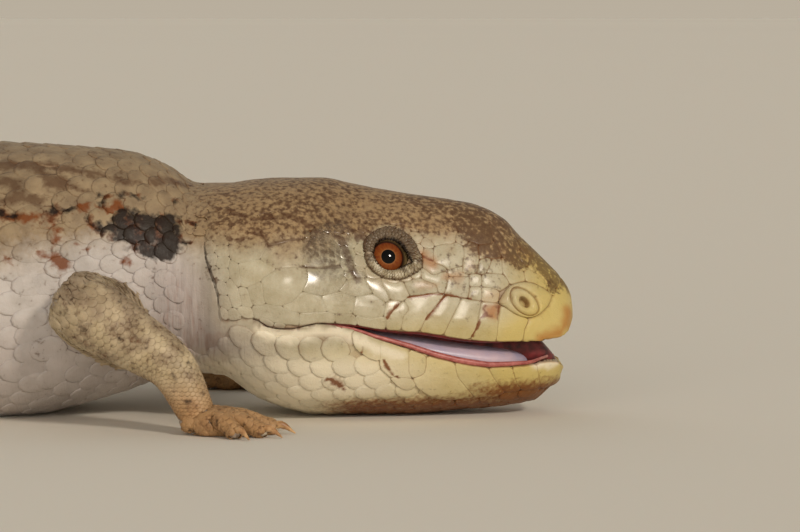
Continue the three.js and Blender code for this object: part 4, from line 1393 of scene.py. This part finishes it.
def buildShields():
    # all shields of the head, in three joined meshes and the two nasal ones
    sides = [onSkin(s) for rows in sideShields.values() for s in rows.split("/")]
    sides.append(onSkin(nasal["outline"]))
    tops, middles = ([fromTop(s) for s in rows.split("/")] for rows in (topShields, middleShields))
    lowers = [onSkin(s) for s in lowerShields.split("/")]
    upper = [*sides, *tops, *middles]
    owner, count = mapShields(upper, lowers)
    firstTop, firstMiddle = len(sides), len(sides) + len(tops)
    groups = {"side": [], "top": [], "lip": [], "small": []}
    for number in range(count):
        crossing = firstMiddle <= number < len(upper)
        found = outlineOf(owner, number, crossing)
        if found is None or number == firstTop - 1:
            continue
        small = number >= len(upper) + len(lowers)
        flat = 1 - 0.45 * smoothstep(found[0][:, 0].mean(), 24, 36)    # flatter on the cheek
        plate = plateOf(*found, plateForm["height"] * flat * (0.75 if small else 1))
        kind = ("small" if small else "lip" if number >= len(upper) else
                "side" if number < firstTop else "top")
        groups[kind] += [plate] if crossing else [plate, mirroredPlate(plate)]
    nose = nasalPlate()
    return {**groups, "nasal": [nose, mirroredPlate(nose)]}


# Materials
def linearColour(code):
    parts = [int(code[i:i + 2], 16) / 255 for i in (1, 3, 5)]
    return (*[p / 12.92 if p <= 0.04045 else ((p + 0.055) / 1.055) ** 2.4 for p in parts], 1)


def addNode(tree, kind, settings=None, links=None, give=0):
    # adds a node, sets and links its sockets, and hands back one output
    node = tree.nodes.new("ShaderNode" + kind)
    for key, value in (settings or {}).items():
        if key == "stops":
            ramp = node.color_ramp.elements
            while len(ramp) < len(value):
                ramp.new(0.5)
            for stop, (place, code) in zip(ramp, value):
                stop.position, stop.color = place, linearColour(code)
        elif isinstance(key, str) and hasattr(node, key):
            setattr(node, key, value)
        else:
            node.inputs[key].default_value = value
    for key, source in (links or {}).items():
        tree.links.new(source, node.inputs[key])
    return node.outputs[give] if len(node.outputs) else None


def newMaterial(name):
    material = bpy.data.materials.new(name)
    material.use_nodes = True
    tree = material.node_tree
    tree.nodes.clear()
    return material, tree


def closeMaterial(tree, settings, links):
    surface = addNode(tree, "BsdfPrincipled", settings, links)
    addNode(tree, "OutputMaterial", {}, {"Surface": surface})


# Keratin over living skin: greasy sheen on the shields, a duller one on the body
hideColours = {
    "flank": ("#c6beb7", "#b6aea6"), "back": ("#97805c", "#796345"),
    "cheek": ("#bbb298", "#a89d80"), "crown": ("#a3855c", "#73563a"),
    "yellow": "#cbb464", "pink": "#aca09a", "fleck": "#4c2e18", "brown": "#4c2c16",
    "rust": "#723a0c", "dark": "#170b04", "suture": "#7c4624", "mouth": "#4e1613",
    # milk: the pale lip bands and throat; on the throat it is partly painted bounce light
    "milk": "#e6dbc2", "damp": "#5a4630", "amber": "#a8621c",
}
lookParts = ("roughness", "coat", "coatRoughness", "bump", "suture", "gloss")
hideLooks = {"hide": (0.45, 0.08, 0.3, 0.4, 0.8, 0.3), "shield": (0.47, 0.12, 0.17, 0.6, 0.6, 0.3),
             "scale": (0.47, 0.06, 0.25, 0.35, 0.2, 0.24), "limb": (0.5, 0.06, 0.35, 0.4, 0.42, 0.3),
             "lid": (0.42, 0.2, 0.25, 0.3, 0.6, 0.4)}
grainSizes = {"mottle": 2.6, "speck": 0.75, "wear": 0.28, "fleck": 0.75, "ripple": 1.7,
              "wrinkle": 0.5, "sparkle": 0.8, "broad": 6.5}   # mm


def perMetre(size):
    return 1000 / size


def hideMaterial(name, kind, colours=hideColours):
    look = dict(zip(lookParts, hideLooks[kind]))
    material, tree = newMaterial(name)
    place = addNode(tree, "TexCoord", give="Object")

    def noise(grain, detail=4.0, at=place):
        return addNode(tree, "TexNoise", {"Scale": perMetre(grainSizes[grain]), "Detail": detail},
                       {"Vector": at})

    def mark(key):
        return addNode(tree, "Attribute", {"attribute_name": key}, give="Fac")

    def spread(source, low, high):
        return addNode(tree, "MapRange", {"From Min": low, "From Max": high}, {"Value": source})

    def sums(operation, first, second, third=0.0, clamped=True):
        # with one or two operands more, each a number or another node's output
        values = dict(enumerate((first, second, third)))
        fixed = {k: v for k, v in values.items() if isinstance(v, float)}
        return addNode(tree, "Math", {"operation": operation, "use_clamp": clamped, **fixed},
                       {k: v for k, v in values.items() if k not in fixed})

    def blend(share, first, second):
        colours = {6: first, 7: second}
        fixed = {k: linearColour(v) for k, v in colours.items() if isinstance(v, str)}
        return addNode(tree, "Mix", {"data_type": "RGBA", **fixed},
                       {0: share, **{k: v for k, v in colours.items() if k not in fixed}}, 2)

    mottle, speck, wear = noise("mottle"), noise("speck"), noise("wear", 2.0)
    cloud, grit = spread(mottle, 0.35, 0.68), spread(speck, 0.3, 0.7)
    flank, back = blend(cloud, *colours["flank"]), blend(cloud, *colours["back"])
    cheek, crown = blend(cloud, *colours["cheek"]), blend(grit, *colours["crown"])
    ground = sums("ADD", mark("ground"), sums("MULTIPLY", grit, 0.2))
    ground = sums("SUBTRACT", ground, 0.1)
    colour = blend(mark("head"), blend(ground, flank, back), blend(ground, cheek, crown))
    ragged = sums("MULTIPLY_ADD", grit, 0.7, -0.8, False)
    netted = sums("MULTIPLY_ADD", mark("fleck"), 0.2, -0.98, False)
    netted = sums("MULTIPLY_ADD", mottle, 0.3, netted, False)
    netted = sums("MULTIPLY_ADD", noise("broad", 2.0), 0.34, netted, False)
    spots = {key: sums("MULTIPLY_ADD", mark(key), 1.9, ragged) for key in ("brown", "rust", "dark")}
    spots["fleck"] = sums("MULTIPLY", sums("ADD", noise("fleck", 6.0), netted, 0.0, False), 5.5)
    cracked = sums("MULTIPLY_ADD", noise("sparkle", 5.0), 4.0, -1.4)
    spots["damp"] = sums("MULTIPLY", sums("POWER", mark("damp"), 2.0), cracked)
    for key, strength in (("pink", 0.85), ("yellow", 0.8), ("amber", 0.7), ("fleck", 0.7),
                          ("milk", 0.88), ("damp", 0.8), ("brown", 0.65), ("rust", 0.92),
                          ("dark", 0.95)):
        share = spots[key] if key in spots else mark(key)
        colour = blend(sums("MULTIPLY", share, strength), colour, colours[key])
    rim = sums("MULTIPLY", sums("POWER", mark("edge"), 1.6), look["suture"])
    rim = sums("MULTIPLY", rim, sums("MULTIPLY_ADD", cloud, 0.5, 0.6))
    colour = blend(rim, colour, colours["suture"])
    upright = addNode(tree, "Mapping", {"Scale": (1.0, 0.14, 0.14)}, {"Vector": place})
    # wrinkles of the pink neck skin: the noise that cuts their creases in the bump also darkens them, as
    # painted shade in the folds
    creased = sums("MULTIPLY", mark("pink"), noise("wrinkle", 2.0, upright))
    colour = blend(sums("MULTIPLY_ADD", creased, 1.2, -0.55), colour, colours["suture"])
    colour = blend(sums("MULTIPLY", mark("lip"), 0.6), colour, colours["mouth"])
    colour = blend(mark("wet"), colour, colours["mouth"])
    tone = sums("MULTIPLY_ADD", mark("tone"), 0.035, 1.0, False)
    colour = addNode(tree, "HueSaturation", {}, {"Color": colour, "Value": tone})
    bumps = sums("MULTIPLY_ADD", speck, 0.5, wear, False)
    waves = sums("MULTIPLY_ADD", noise("ripple", 2.0), 1.2, bumps, False)
    damp = mark("damp")
    sparkle = sums("MULTIPLY", noise("sparkle", 3.0), sums("MULTIPLY", damp, 14.0, 0.0, False), 0.0,
                   False)
    creases = sums("MULTIPLY_ADD", creased, -3.0, sparkle, False)
    relief = addNode(tree, "Bump", {"Strength": look["bump"], "Distance": 0.00014},
                     {"Height": sums("ADD", waves, creases, 0.0, False)})
    rough = addNode(tree, "MapRange", {"To Min": look["roughness"] - 0.09,
                                       "To Max": look["roughness"] + 0.12}, {"Value": speck})
    film = {"Coat Weight": sums("MULTIPLY_ADD", damp, 0.9, look["coat"])} if kind == "shield" else {}
    closeMaterial(tree, {
        "IOR": 1.5, "Specular IOR Level": look["gloss"], "Coat Roughness": look["coatRoughness"],
        "Coat Weight": look["coat"], "Subsurface Weight": 0.05,
        "Subsurface Radius": (0.0016, 0.0008, 0.0005), "Subsurface Scale": 1.0},
        {"Base Color": colour, "Roughness": sums("MULTIPLY_ADD", damp, -0.25, rough),
         "Normal": relief, **film})
    return material


def plainMaterial(name, light, shade, size, roughness, coat=0.0, bump=0.2):
    # one substance with soft variation of its colour at a real size in mm
    material, tree = newMaterial(name)
    place = addNode(tree, "TexCoord", give="Object")
    patches = addNode(tree, "TexNoise", {"Scale": perMetre(size), "Detail": 5.0}, {"Vector": place})
    share = addNode(tree, "MapRange", {"From Min": 0.35, "From Max": 0.65}, {"Value": patches})
    colour = addNode(tree, "Mix", {"data_type": "RGBA", 6: linearColour(light),
                                   7: linearColour(shade)}, {0: share}, 2)
    relief = addNode(tree, "Bump", {"Strength": bump, "Distance": 0.0001}, {"Height": patches})
    closeMaterial(tree, {
        "Roughness": roughness, "Coat Weight": coat, "Coat Roughness": 0.1,
        "Subsurface Weight": 0.08, "Subsurface Radius": (0.002, 0.001, 0.0007),
        "Subsurface Scale": 1.0}, {"Base Color": colour, "Normal": relief})
    return material


def eyeMaterial():
    # a wet cornea over a ringed iris; fromAxis is the distance in mm from the line of sight
    material, tree = newMaterial("wetEye")
    away = addNode(tree, "Attribute", {"attribute_name": "fromAxis"}, give="Fac")
    turn = addNode(tree, "Attribute", {"attribute_name": "aroundAxis"}, give="Fac")
    spot = addNode(tree, "CombineXYZ", {}, {"X": turn, "Y": away})
    fibres = addNode(tree, "TexNoise", {"noise_dimensions": "2D", "Scale": 1.0, "Detail": 3.0},
                     {"Vector": spot})
    share = addNode(tree, "MapRange", {"From Min": 0.35, "From Max": 0.65}, {"Value": fibres})
    iris = addNode(tree, "Mix", {"data_type": "RGBA", 6: linearColour("#6a2d0a"),
                                 7: linearColour("#824a18")}, {0: share}, 2)
    outward = addNode(tree, "Math", {"operation": "DIVIDE", 1: 5.5}, {0: away})
    # from the pupil outward: black pupil, iris rings, a dark limbus and the olive sclera, which darkens
    # again far out as painted shade where it runs under the lids
    ring = addNode(tree, "ValToRGB", {"stops": [
        (0, "#040303"), (0.21, "#040303"), (0.22, "#966238"), (0.27, "#84461f"), (0.33, "#763410"),
        (0.42, "#62270c"), (0.45, "#3a180b"), (0.475, "#22120b"), (0.53, "#4a3a24"),
        (0.6, "#75623f"), (0.75, "#4a3a24")]}, {"Fac": outward})
    inner, outer = (addNode(tree, "MapRange", {"From Min": low, "From Max": high}, {"Value": outward})
                    for low, high in ((0.225, 0.24), (0.45, 0.42)))
    both = addNode(tree, "Math", {"operation": "MULTIPLY"}, {0: inner, 1: outer})
    half = addNode(tree, "Math", {"operation": "MULTIPLY", 1: 0.55}, {0: both})
    colour = addNode(tree, "Mix", {"data_type": "RGBA"}, {0: half, 6: ring, 7: iris}, 2)
    closeMaterial(tree, {"Roughness": 0.6, "Specular IOR Level": 0.03, "Coat Weight": 0.4,
                         "Coat Roughness": 0.02}, {"Base Color": colour})
    return material


def finish(piece, material, slot, *nodes):
    piece.data.materials.clear()
    piece.data.materials.append(material)
    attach(piece, "root")
    if nodes:
        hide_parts(*nodes)


# Markings of the skin itself
def nearestPlaces(points):
    # distance from the snout and turn of points of the skin
    distance, turn = np.zeros((2, len(points)))
    for start in range(0, len(points), 4000):
        block = points[start:start + 4000]
        away = np.linalg.norm(block[:, None, :2] - backbone[None, ::4, :2], axis=-1)
        first = away.argmin(1) * 4
        best = np.clip(first[:, None] + np.arange(-4, 5)[None], 0, len(backbone) - 1)
        gaps = np.linalg.norm(block[:, None, :2] - backbone[best][..., :2], axis=-1)
        whole = best[np.arange(len(block)), gaps.argmin(1)]
        place, tailward, _ = spine(whole.astype(float))
        rest = block - place
        behind = whole + (rest * tailward).sum(-1)
        row = np.interp(behind, trunk.along, np.arange(len(trunk.along))).astype(int)
        near = ((trunk.points[row, :-1] - block[:, None]) ** 2).sum(-1).argmin(1)
        distance[start:start + 4000], turn[start:start + 4000] = behind, near / trunk.columns
    return distance, turn


def limbGap(points):
    # how far each place is from the nearest limb's surface
    around = np.concatenate([limb["tube"].points[:, :-1].reshape(-1, 3) for limb in limbs.values()])
    finder = KDTree(len(around))
    for n, spot in enumerate(around):
        finder.insert(spot, n)
    finder.balance()
    return np.array([finder.find(spot)[2] for spot in points])


def colourSkin():
    points = skinPoints
    distance, turn = nearestPlaces(points)
    marks = marksOf(distance, turn, points)
    surfacePlace = trunk.place(distance, turn)
    deep = np.linalg.norm(surfacePlace - points, axis=1)
    onLimb = smoothstep(deep, 0.6, 2) * (1 - smoothstep(limbGap(points), 0.9, 2.2)) * (distance > 50)
    onLimb = np.maximum(onLimb, smoothstep(deep, 2.5, 6) * (distance > 50))
    limb = limbMarks(distance, turn, points)
    limb["yellow"] = 0 * distance
    for key in marks:
        marks[key] = marks[key] * (1 - onLimb) + limb.get(key, 0) * onLimb
    level = points[:, 2]
    aside = np.abs(points[:, 1] - snoutPlace[1])
    outside = np.abs(surfacePlace[:, 1] - snoutPlace[1])
    inMouth = (distance < 54) & (level < line["upperLip"](distance) + 3.2) & (
        level > lowerEdge(distance) - 3.8) & (outside - aside > 0.9) & (deep > 0.8)
    inEar = (np.abs(distance - slitAt(turn)) < 0.75) & (deep > skinLook["sunk"] + 0.12) & (
        halfTurn(turn) > earPlaces[0, 1] - 0.01) & (halfTurn(turn) < earPlaces[-2, 1])
    inNose = (distance < 12) & (level > 16.5) & (deep > 0.75) & (distance > 5)
    marks["wet"] = inMouth * 1.0
    marks["amber"] = np.maximum(marks["amber"], inNose * 0.7)
    # inside the ear slit the skin is painted darker, as the shade in the slit
    marks["dark"] = np.maximum(marks["dark"], inEar * 0.5)
    underShields = (distance < np.minimum(59, slitAt(turn) - 0.3)) & (level > lowerEdge(distance))
    underJaw = (distance < 60) & (level < lowerEdge(distance) - 1.5)
    marks["edge"] = (0.15 + 0.6 * underShields + 0.35 * underJaw) * (1 - bareness(distance, turn))
    marks["tone"] = np.zeros(len(points))
    for key, value in marks.items():
        setValue(skin.data, key, value)


colourSkin()
fleshNodes = [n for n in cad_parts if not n.startswith("eye") and n != "tongue"]
finish(skin, hideMaterial("softSkin", "hide"), "body_scales", *fleshNodes)
print("skin coloured")

# The coat of scales
bodyLook = {"front": -0.16, "rear": 0.17, "crown": 0.06, "thick": 0.34}
neckLook = {"front": -0.2, "rear": 0.07, "crown": 0.03, "thick": 0.26}
jawLook = {"front": -0.2, "rear": 0.14, "crown": 0.05, "thick": 0.4, "uneven": 0.03,
           "slant": 0.45, "underLip": 0.05}
lidLook = {"front": -0.08, "rear": 0.1, "crown": 0.08, "thick": 0.22, "hideDeep": 0.3,
           "uneven": 0.12, "turned": 0.2}
limbLook = {"front": -0.14, "rear": 0.03, "crown": 0.03, "thick": 0.22, "hideDeep": 0.4,
            "clear": 1.0, "moving": 1.5, "lifted": 0.01}
toeLook = {"front": -0.08, "rear": 0.06, "crown": 0.03, "thick": 0.2, "hideDeep": 0.35,
           "clear": 0.7, "moving": 0.9}
shieldHide = hideMaterial("headShieldKeratin", "shield")
scaleHide = hideMaterial("bodyScaleKeratin", "scale")
limbColours = {**hideColours, "flank": ("#d0bd9a", "#b29e7a"), "back": ("#9c8870", "#7e6b54"),
               "suture": "#3a2a18", "yellow": "#a67a4c"}
limbHide = hideMaterial("limbScaleKeratin", "limb", limbColours)
lidColours = {**hideColours, "cheek": ("#b0a284", "#887a5e"), "crown": ("#6e5a44", "#483828")}
lidHide = hideMaterial("lidGranules", "lid", lidColours)


def marksOfLid(distance, turn, points):
    # the lid is dark above and pale below; its inner rim is darkened as painted shade where the lid's
    # edge overhangs the eye
    patch, turn = patchy(points, 0.9), np.mod(turn, 1)
    upper = smoothstep(points[:, 2], eyes["level"] - 1.5, eyes["level"] + 1.5)
    inner = 1 - smoothstep(np.abs(turn - 0.5), 0.1, 0.2)
    outer = 1 - smoothstep(turn, 0.05, 0.12)
    grains = smoothstep(patchy(points, 0.55), 0.4, 0.7) * 0.7
    ticks = (1 - upper) * bell(turn, 0.27, 0.14) * smoothstep(patchy(points, 0.7), 0.5, 0.7)
    return {"dark": inner * 0.85, "milk": ticks * 0.7, "head": 0 * turn + 1,
            "brown": np.maximum(upper * 0.35 * patch, outer * 0.8),
            "ground": np.clip(upper + grains, 0, 1), "rust": 0 * turn, "pink": 0 * turn,
            "fleck": upper * smoothstep(patch, 0.4, 0.7) * 0.6}


lengthsOfBody = [("scales_neck", 57.5, 84, 44, neckLook), ("scales_front", 84, 152, 44, bodyLook),
                 ("scales_middle", 152, 230, 44, bodyLook), ("scales_rear", 230, 304, 44, bodyLook),
                 ("scales_tail_base", 304, 350, 34, bodyLook),
                 ("scales_tail_middle", 350, 400, 26, bodyLook),
                 ("scales_tail_end", 400, 446, 18, bodyLook),
                 ("scales_tail_tip", 446, 484, 12, bodyLook)]
for number, (name, start, end, rows, look) in enumerate(lengthsOfBody):
    roots = scaleRoots(trunk, rows, start, end, 1.1, finer=0.2)
    if name == "scales_neck":
        low = trunk.place(*roots[:, :2].T)[:, 2] < 11
        bare = 5 * smoothstep(halfTurn(roots[:, 1]), 0.17, 0.21)     # the wrinkled skin of the neck
        behind = roots[:, 0] > np.where(low, 63, slitAt(roots[:, 1]) + 1.3 + bare)
        roots = roots[behind]
    coat = layScales(name, trunk, roots, look, marksOf, 20 + number)
    finish(coat, scaleHide, "body_scales")
    print(name, len(coat.data.polygons))

for number, (name, limb) in enumerate(limbs.items()):
    tube, sole, toes = (limb[part] for part in ("tube", "sole", "toes"))
    coats = [("leg_" + name, tube, 26, 0, -2.5, 1.1, limbLook, 40 + number),
             ("sole_" + name, sole, 16, sole.along[0] + 1, -1, 1.1, toeLook, 50 + number)]
    coats += [(f"toe_{name}_{n}", toe["tube"], 8, 0.4, -0.8, 1.3, toeLook, 60 + number * 5 + n)
              for n, toe in enumerate(toes)]
    for part, tube, rows, start, rest, stretch, look, seed in coats:
        roots = scaleRoots(tube, rows, start, tube.along[-1] + rest, stretch)
        coat = layScales("scales_" + part, tube, roots, look, limbMarks, seed)
        finish(coat, limbHide, "limb_scales" if look is limbLook else "foot_scales")
print("limbs covered")


def jawRoots():
    # overlapping scales under the line of the mouth, in front of the neck
    roots = np.concatenate([scaleRoots(trunk, 42, 20, 63, 1.2, (0.45, 1)),
                            scaleRoots(trunk, 30, 5, 20, 1.15, (0.66, 1))])
    distance, turn = roots[:, :2].T
    level = trunk.place(distance, turn)[:, 2]
    under = (level < lowerEdge(distance) - 1.6) & ((distance < slitAt(turn) - 0.5) | (level < 11))
    across = trunk.girth(distance)
    spots = np.stack([distance, halfTurn(turn)], -1)
    clear = np.all([gapTo(spots, across, onSkin(lip)) > 0.5 for lip in lowerShields.split("/")], 0)
    return roots[under & clear]


coat = layScales("scales_jaw", trunk, jawRoots(), jawLook, marksOf, 90)
finish(coat, shieldHide, "jaw_scales")

for group, plates in buildShields().items():
    lip = {"lip": "lower", "side": "upper"}.get(group)
    coat = layPlates("shields_" + group, plates, 91, lip)
    finish(coat, shieldHide, "jaw_scales" if group == "lip" else "head_scales")
    print("shields", group, len(plates))
for side, name in ((1, "right"), (-1, "left")):
    ring = lidSurface(side, (0.02, 0.99, 0.4, 0.008))
    roots = scaleRoots(ring, 9, 0, ring.along[-1] - 0.3, 1.1)
    roots = roots[(roots[:, 1] > 0.04) & (roots[:, 1] < 0.49)]
    coat = layScales("granules_lid_" + name, ring, roots, lidLook, marksOfLid, 97)
    finish(coat, lidHide, "head_scales")
print("head covered")


# Eyes
def buildEye(side):
    centre = eyeCentre(side)
    gaze = unit(np.array(eyes["gaze"]) * (1, -side, 1))
    ball = ballMesh("eyeball_right" if side > 0 else "eyeball_left", (0, 0, 0),
                    (eyes["radius"],) * 3, 96)
    ball.data.transform(Vector((0, 0, 1)).rotation_difference(Vector(gaze)).to_matrix().to_4x4())
    points = pointsOf(ball.data)
    deep = points @ gaze
    away = np.linalg.norm(points - deep[:, None] * gaze, axis=1)
    away = np.where(deep > 0, away, eyes["radius"] * 1.2)
    bulge = eyes["corneaRise"] * (1 - smoothstep(away, 0.6, eyes["iris"] * 1.25)) * (deep > 0)
    across = np.cross(gaze, (0, 0, 1))
    around = np.arctan2(points @ np.cross(across, gaze), points @ across)
    setPoints(ball.data, points + gaze * bulge[:, None] + centre)
    setValue(ball.data, "fromAxis", away)
    setValue(ball.data, "aroundAxis", np.abs(around) * 9)
    return ball


wetEye = eyeMaterial()
for side, node in ((1, "eye_right"), (-1, "eye_left")):
    finish(buildEye(side), wetEye, "eye", node)


# Mouth
tongueShape = {"from": 6.8, "to": 41, "front": 10.6, "back": 16.3, "sideRoom": 1.7}
liningShape = {"from": 2.6, "to": 42, "sideRoom": 4.6, "tipLevel": 9.3, "tipRise": 1.0,
               "above": 1.6, "under": 1.2}
gumShape = {"room": 0.8, "radius": 0.53}
gums = {"gum_lower": (3.3, 41, 0.5), "gum_upper": (9.5, 41, 0.1)}     # from, to and how far raised


def buildTongue():
    shape = tongueShape
    rise = (shape["back"] - shape["front"]) / (shape["to"] - shape["from"])
    return mouthLens("tongue_wet", shape["from"], shape["to"], shape["sideRoom"],
                     lambda s: shape["front"] + rise * (s - shape["from"]),
                     lambda s: lowerEdge(s) - mouth["floorDrop"], 60, 40, 10, 0.55)


def buildLining():
    # the flesh between the jaws, sloping down to the tip of the lower one; its dark red is partly the
    # flesh's own colour and partly painted shade of the mouth's depths
    shape = liningShape
    return mouthLens("mouth_lining", shape["from"], shape["to"], shape["sideRoom"],
                     lambda s: np.minimum(line["upperLip"](s) + shape["above"], shape["tipLevel"]
                                          + (s - shape["from"]) * shape["tipRise"]),
                     lambda s: lowerEdge(s) - shape["under"], 48, 28, 20, 0.6)


def buildGum(name, edge):
    # the wet ridge inside a lip, once round the jaw
    shape = gumShape
    start, end, raised = gums[name]
    rows, columns = 120, 12

    def ring(row, column):
        share = row / rows * 2 - 1
        distance = start + (end - start) * np.abs(share) ** 1.6
        aside = (line["halfWidth"](distance) - shape["room"]) * np.sign(share)
        aside = aside * smoothstep(np.abs(share), 0, 0.25)
        place, _, right = spine(distance)
        points = place + right * aside[:, None]
        closing = smoothstep(line["upperLip"](distance) - lowerEdge(distance), 0.3, 2.6)
        points[:, 2] = edge(distance) + raised * closing
        angle = column / columns * 2 * math.pi
        thick = shape["radius"] * np.sqrt(np.maximum(1 - np.abs(share) ** 12, 0)) * (
            0.45 + 0.55 * bell(np.abs(share), 0.6, 0.3))
        points = points + np.stack([0 * angle, np.cos(angle) * thick, np.sin(angle) * thick], -1)
        front = 1 - smoothstep(np.abs(share), 0.1, 0.4)
        points[:, 0] += np.cos(angle) * thick * front * np.sign(share)
        return points

    return gridMesh(name, rows, columns, ring)


finish(buildTongue(), plainMaterial("wetTongue", "#c8b0b8", "#a59cb4", 5, 0.35, 0.4, 0.5),
       "tongue", "tongue")
wetGum = plainMaterial("wetGum", "#bc7068", "#984a44", 0.9, 0.32, 0.4, 0.3)
darkGum = plainMaterial("wetGumInShade", "#7c2220", "#5e1413", 1.2, 0.4, 0.3, 0.2)
finish(buildGum("gum_lower", lowerEdge), wetGum, "tongue")
finish(buildGum("gum_upper", line["upperLip"]), darkGum, "tongue")
# the lining's reds are deepened as painted shade of the mouth's depths
finish(buildLining(), plainMaterial("wetLining", "#7a2a2c", "#3c1214", 1.5, 0.5, 0.1, 0.2), "tongue")

# Claws
clawShape = {"radii": (0.78, 0.62, 0.12), "columns": 14}
claws = plainMaterial("clawHorn", "#c8a070", "#8e6238", 1.1, 0.32, 0.4, 0.25)
for name, limb in limbs.items():
    parts = []
    for toe in limb["toes"]:
        tube = tubeSurface(toe["claw"], clawShape["radii"], 18, 16, (0, 0, 1, 1), soften=160)
        parts.append(tubeMesh("claw", tube, tube.along[::2], clawShape["columns"]))
    whole = parts[0]
    with bpy.context.temp_override(active_object=whole, selected_editable_objects=parts):
        bpy.ops.object.join()
    whole.name = "claws_" + name
    finish(whole, claws, "foot_scales")
print("eyes, mouth and claws made")


# Camera, light and floor
def buildCamera():
    eye, forward, _ = cameraFrame()
    data = bpy.data.cameras.new("camera")
    data.sensor_width = camera["sensor"]
    data.lens = (camera["pixelsPerMillimetre"] * camera["away"] * camera["sensor"]
                 / camera["pixelsWide"])
    data.clip_start = 0.01
    view = linkPiece("camera", data)
    view.location = eye * 0.001
    view.rotation_euler = Vector(forward).to_track_quat("-Z", "Y").to_euler()
    bpy.context.scene.camera = view


lights = {
    # suns: where from, strength, softness in radians; only the key one shows in gloss
    "key": {"from": (0.5, -0.72, 0.5), "power": 1.35, "soft": 0.12, "colour": "#fff4e6"},
    "fill": {"from": (-0.2, -1.0, 0.14), "power": 1.5, "soft": 1.0, "colour": "#fff8f2"},
    "back": {"from": (-0.4, 0.8, 0.6), "power": 0.4, "soft": 0.9, "colour": "#fffaf4"},
}
studio = {"horizon": "#e8dbc6", "above": "#a8a6a2", "below": "#cfc9c0", "strength": 0.6}


def buildLights():
    for name, setting in lights.items():
        data = bpy.data.lights.new(name, "SUN")
        data.angle = setting["soft"]
        data.energy = setting["power"]
        data.color = linearColour(setting["colour"])[:3]
        lamp = linkPiece(name, data)
        lamp.location = setting["from"]
        lamp.rotation_euler = (-Vector(setting["from"])).to_track_quat("-Z", "Y").to_euler()
        lamp.visible_glossy = name == "key"


def buildStudio():
    # an even dome, palest round the horizon, so that it meets the floor without a line
    world = bpy.data.worlds.new("studio")
    bpy.context.scene.world = world
    world.use_nodes = True
    tree = world.node_tree
    way = addNode(tree, "TexCoord", give="Generated")
    height = addNode(tree, "SeparateXYZ", {}, {0: way}, "Z")
    share = addNode(tree, "MapRange", {"From Min": -0.1, "From Max": 0.9}, {"Value": height})
    dome = addNode(tree, "ValToRGB", {"stops": [
        (0, studio["below"]), (0.1, studio["horizon"]), (0.25, studio["horizon"]),
        (0.75, studio["above"])]}, {"Fac": share})
    sky = tree.nodes["Background"]
    tree.links.new(dome, sky.inputs["Color"])
    sky.inputs["Strength"].default_value = studio["strength"]
    bpy.context.scene.view_settings.view_transform = "Standard"


def buildFloor():
    bm = bmesh.new()
    bmesh.ops.create_grid(bm, x_segments=4, y_segments=4, size=40)
    floor = pieceFrom("floor", bm)
    floor.data.materials.append(plainMaterial("paleFloor", "#e2dccf", "#e0dacd", 9000, 0.9))


buildCamera()
buildLights()
buildStudio()
buildFloor()
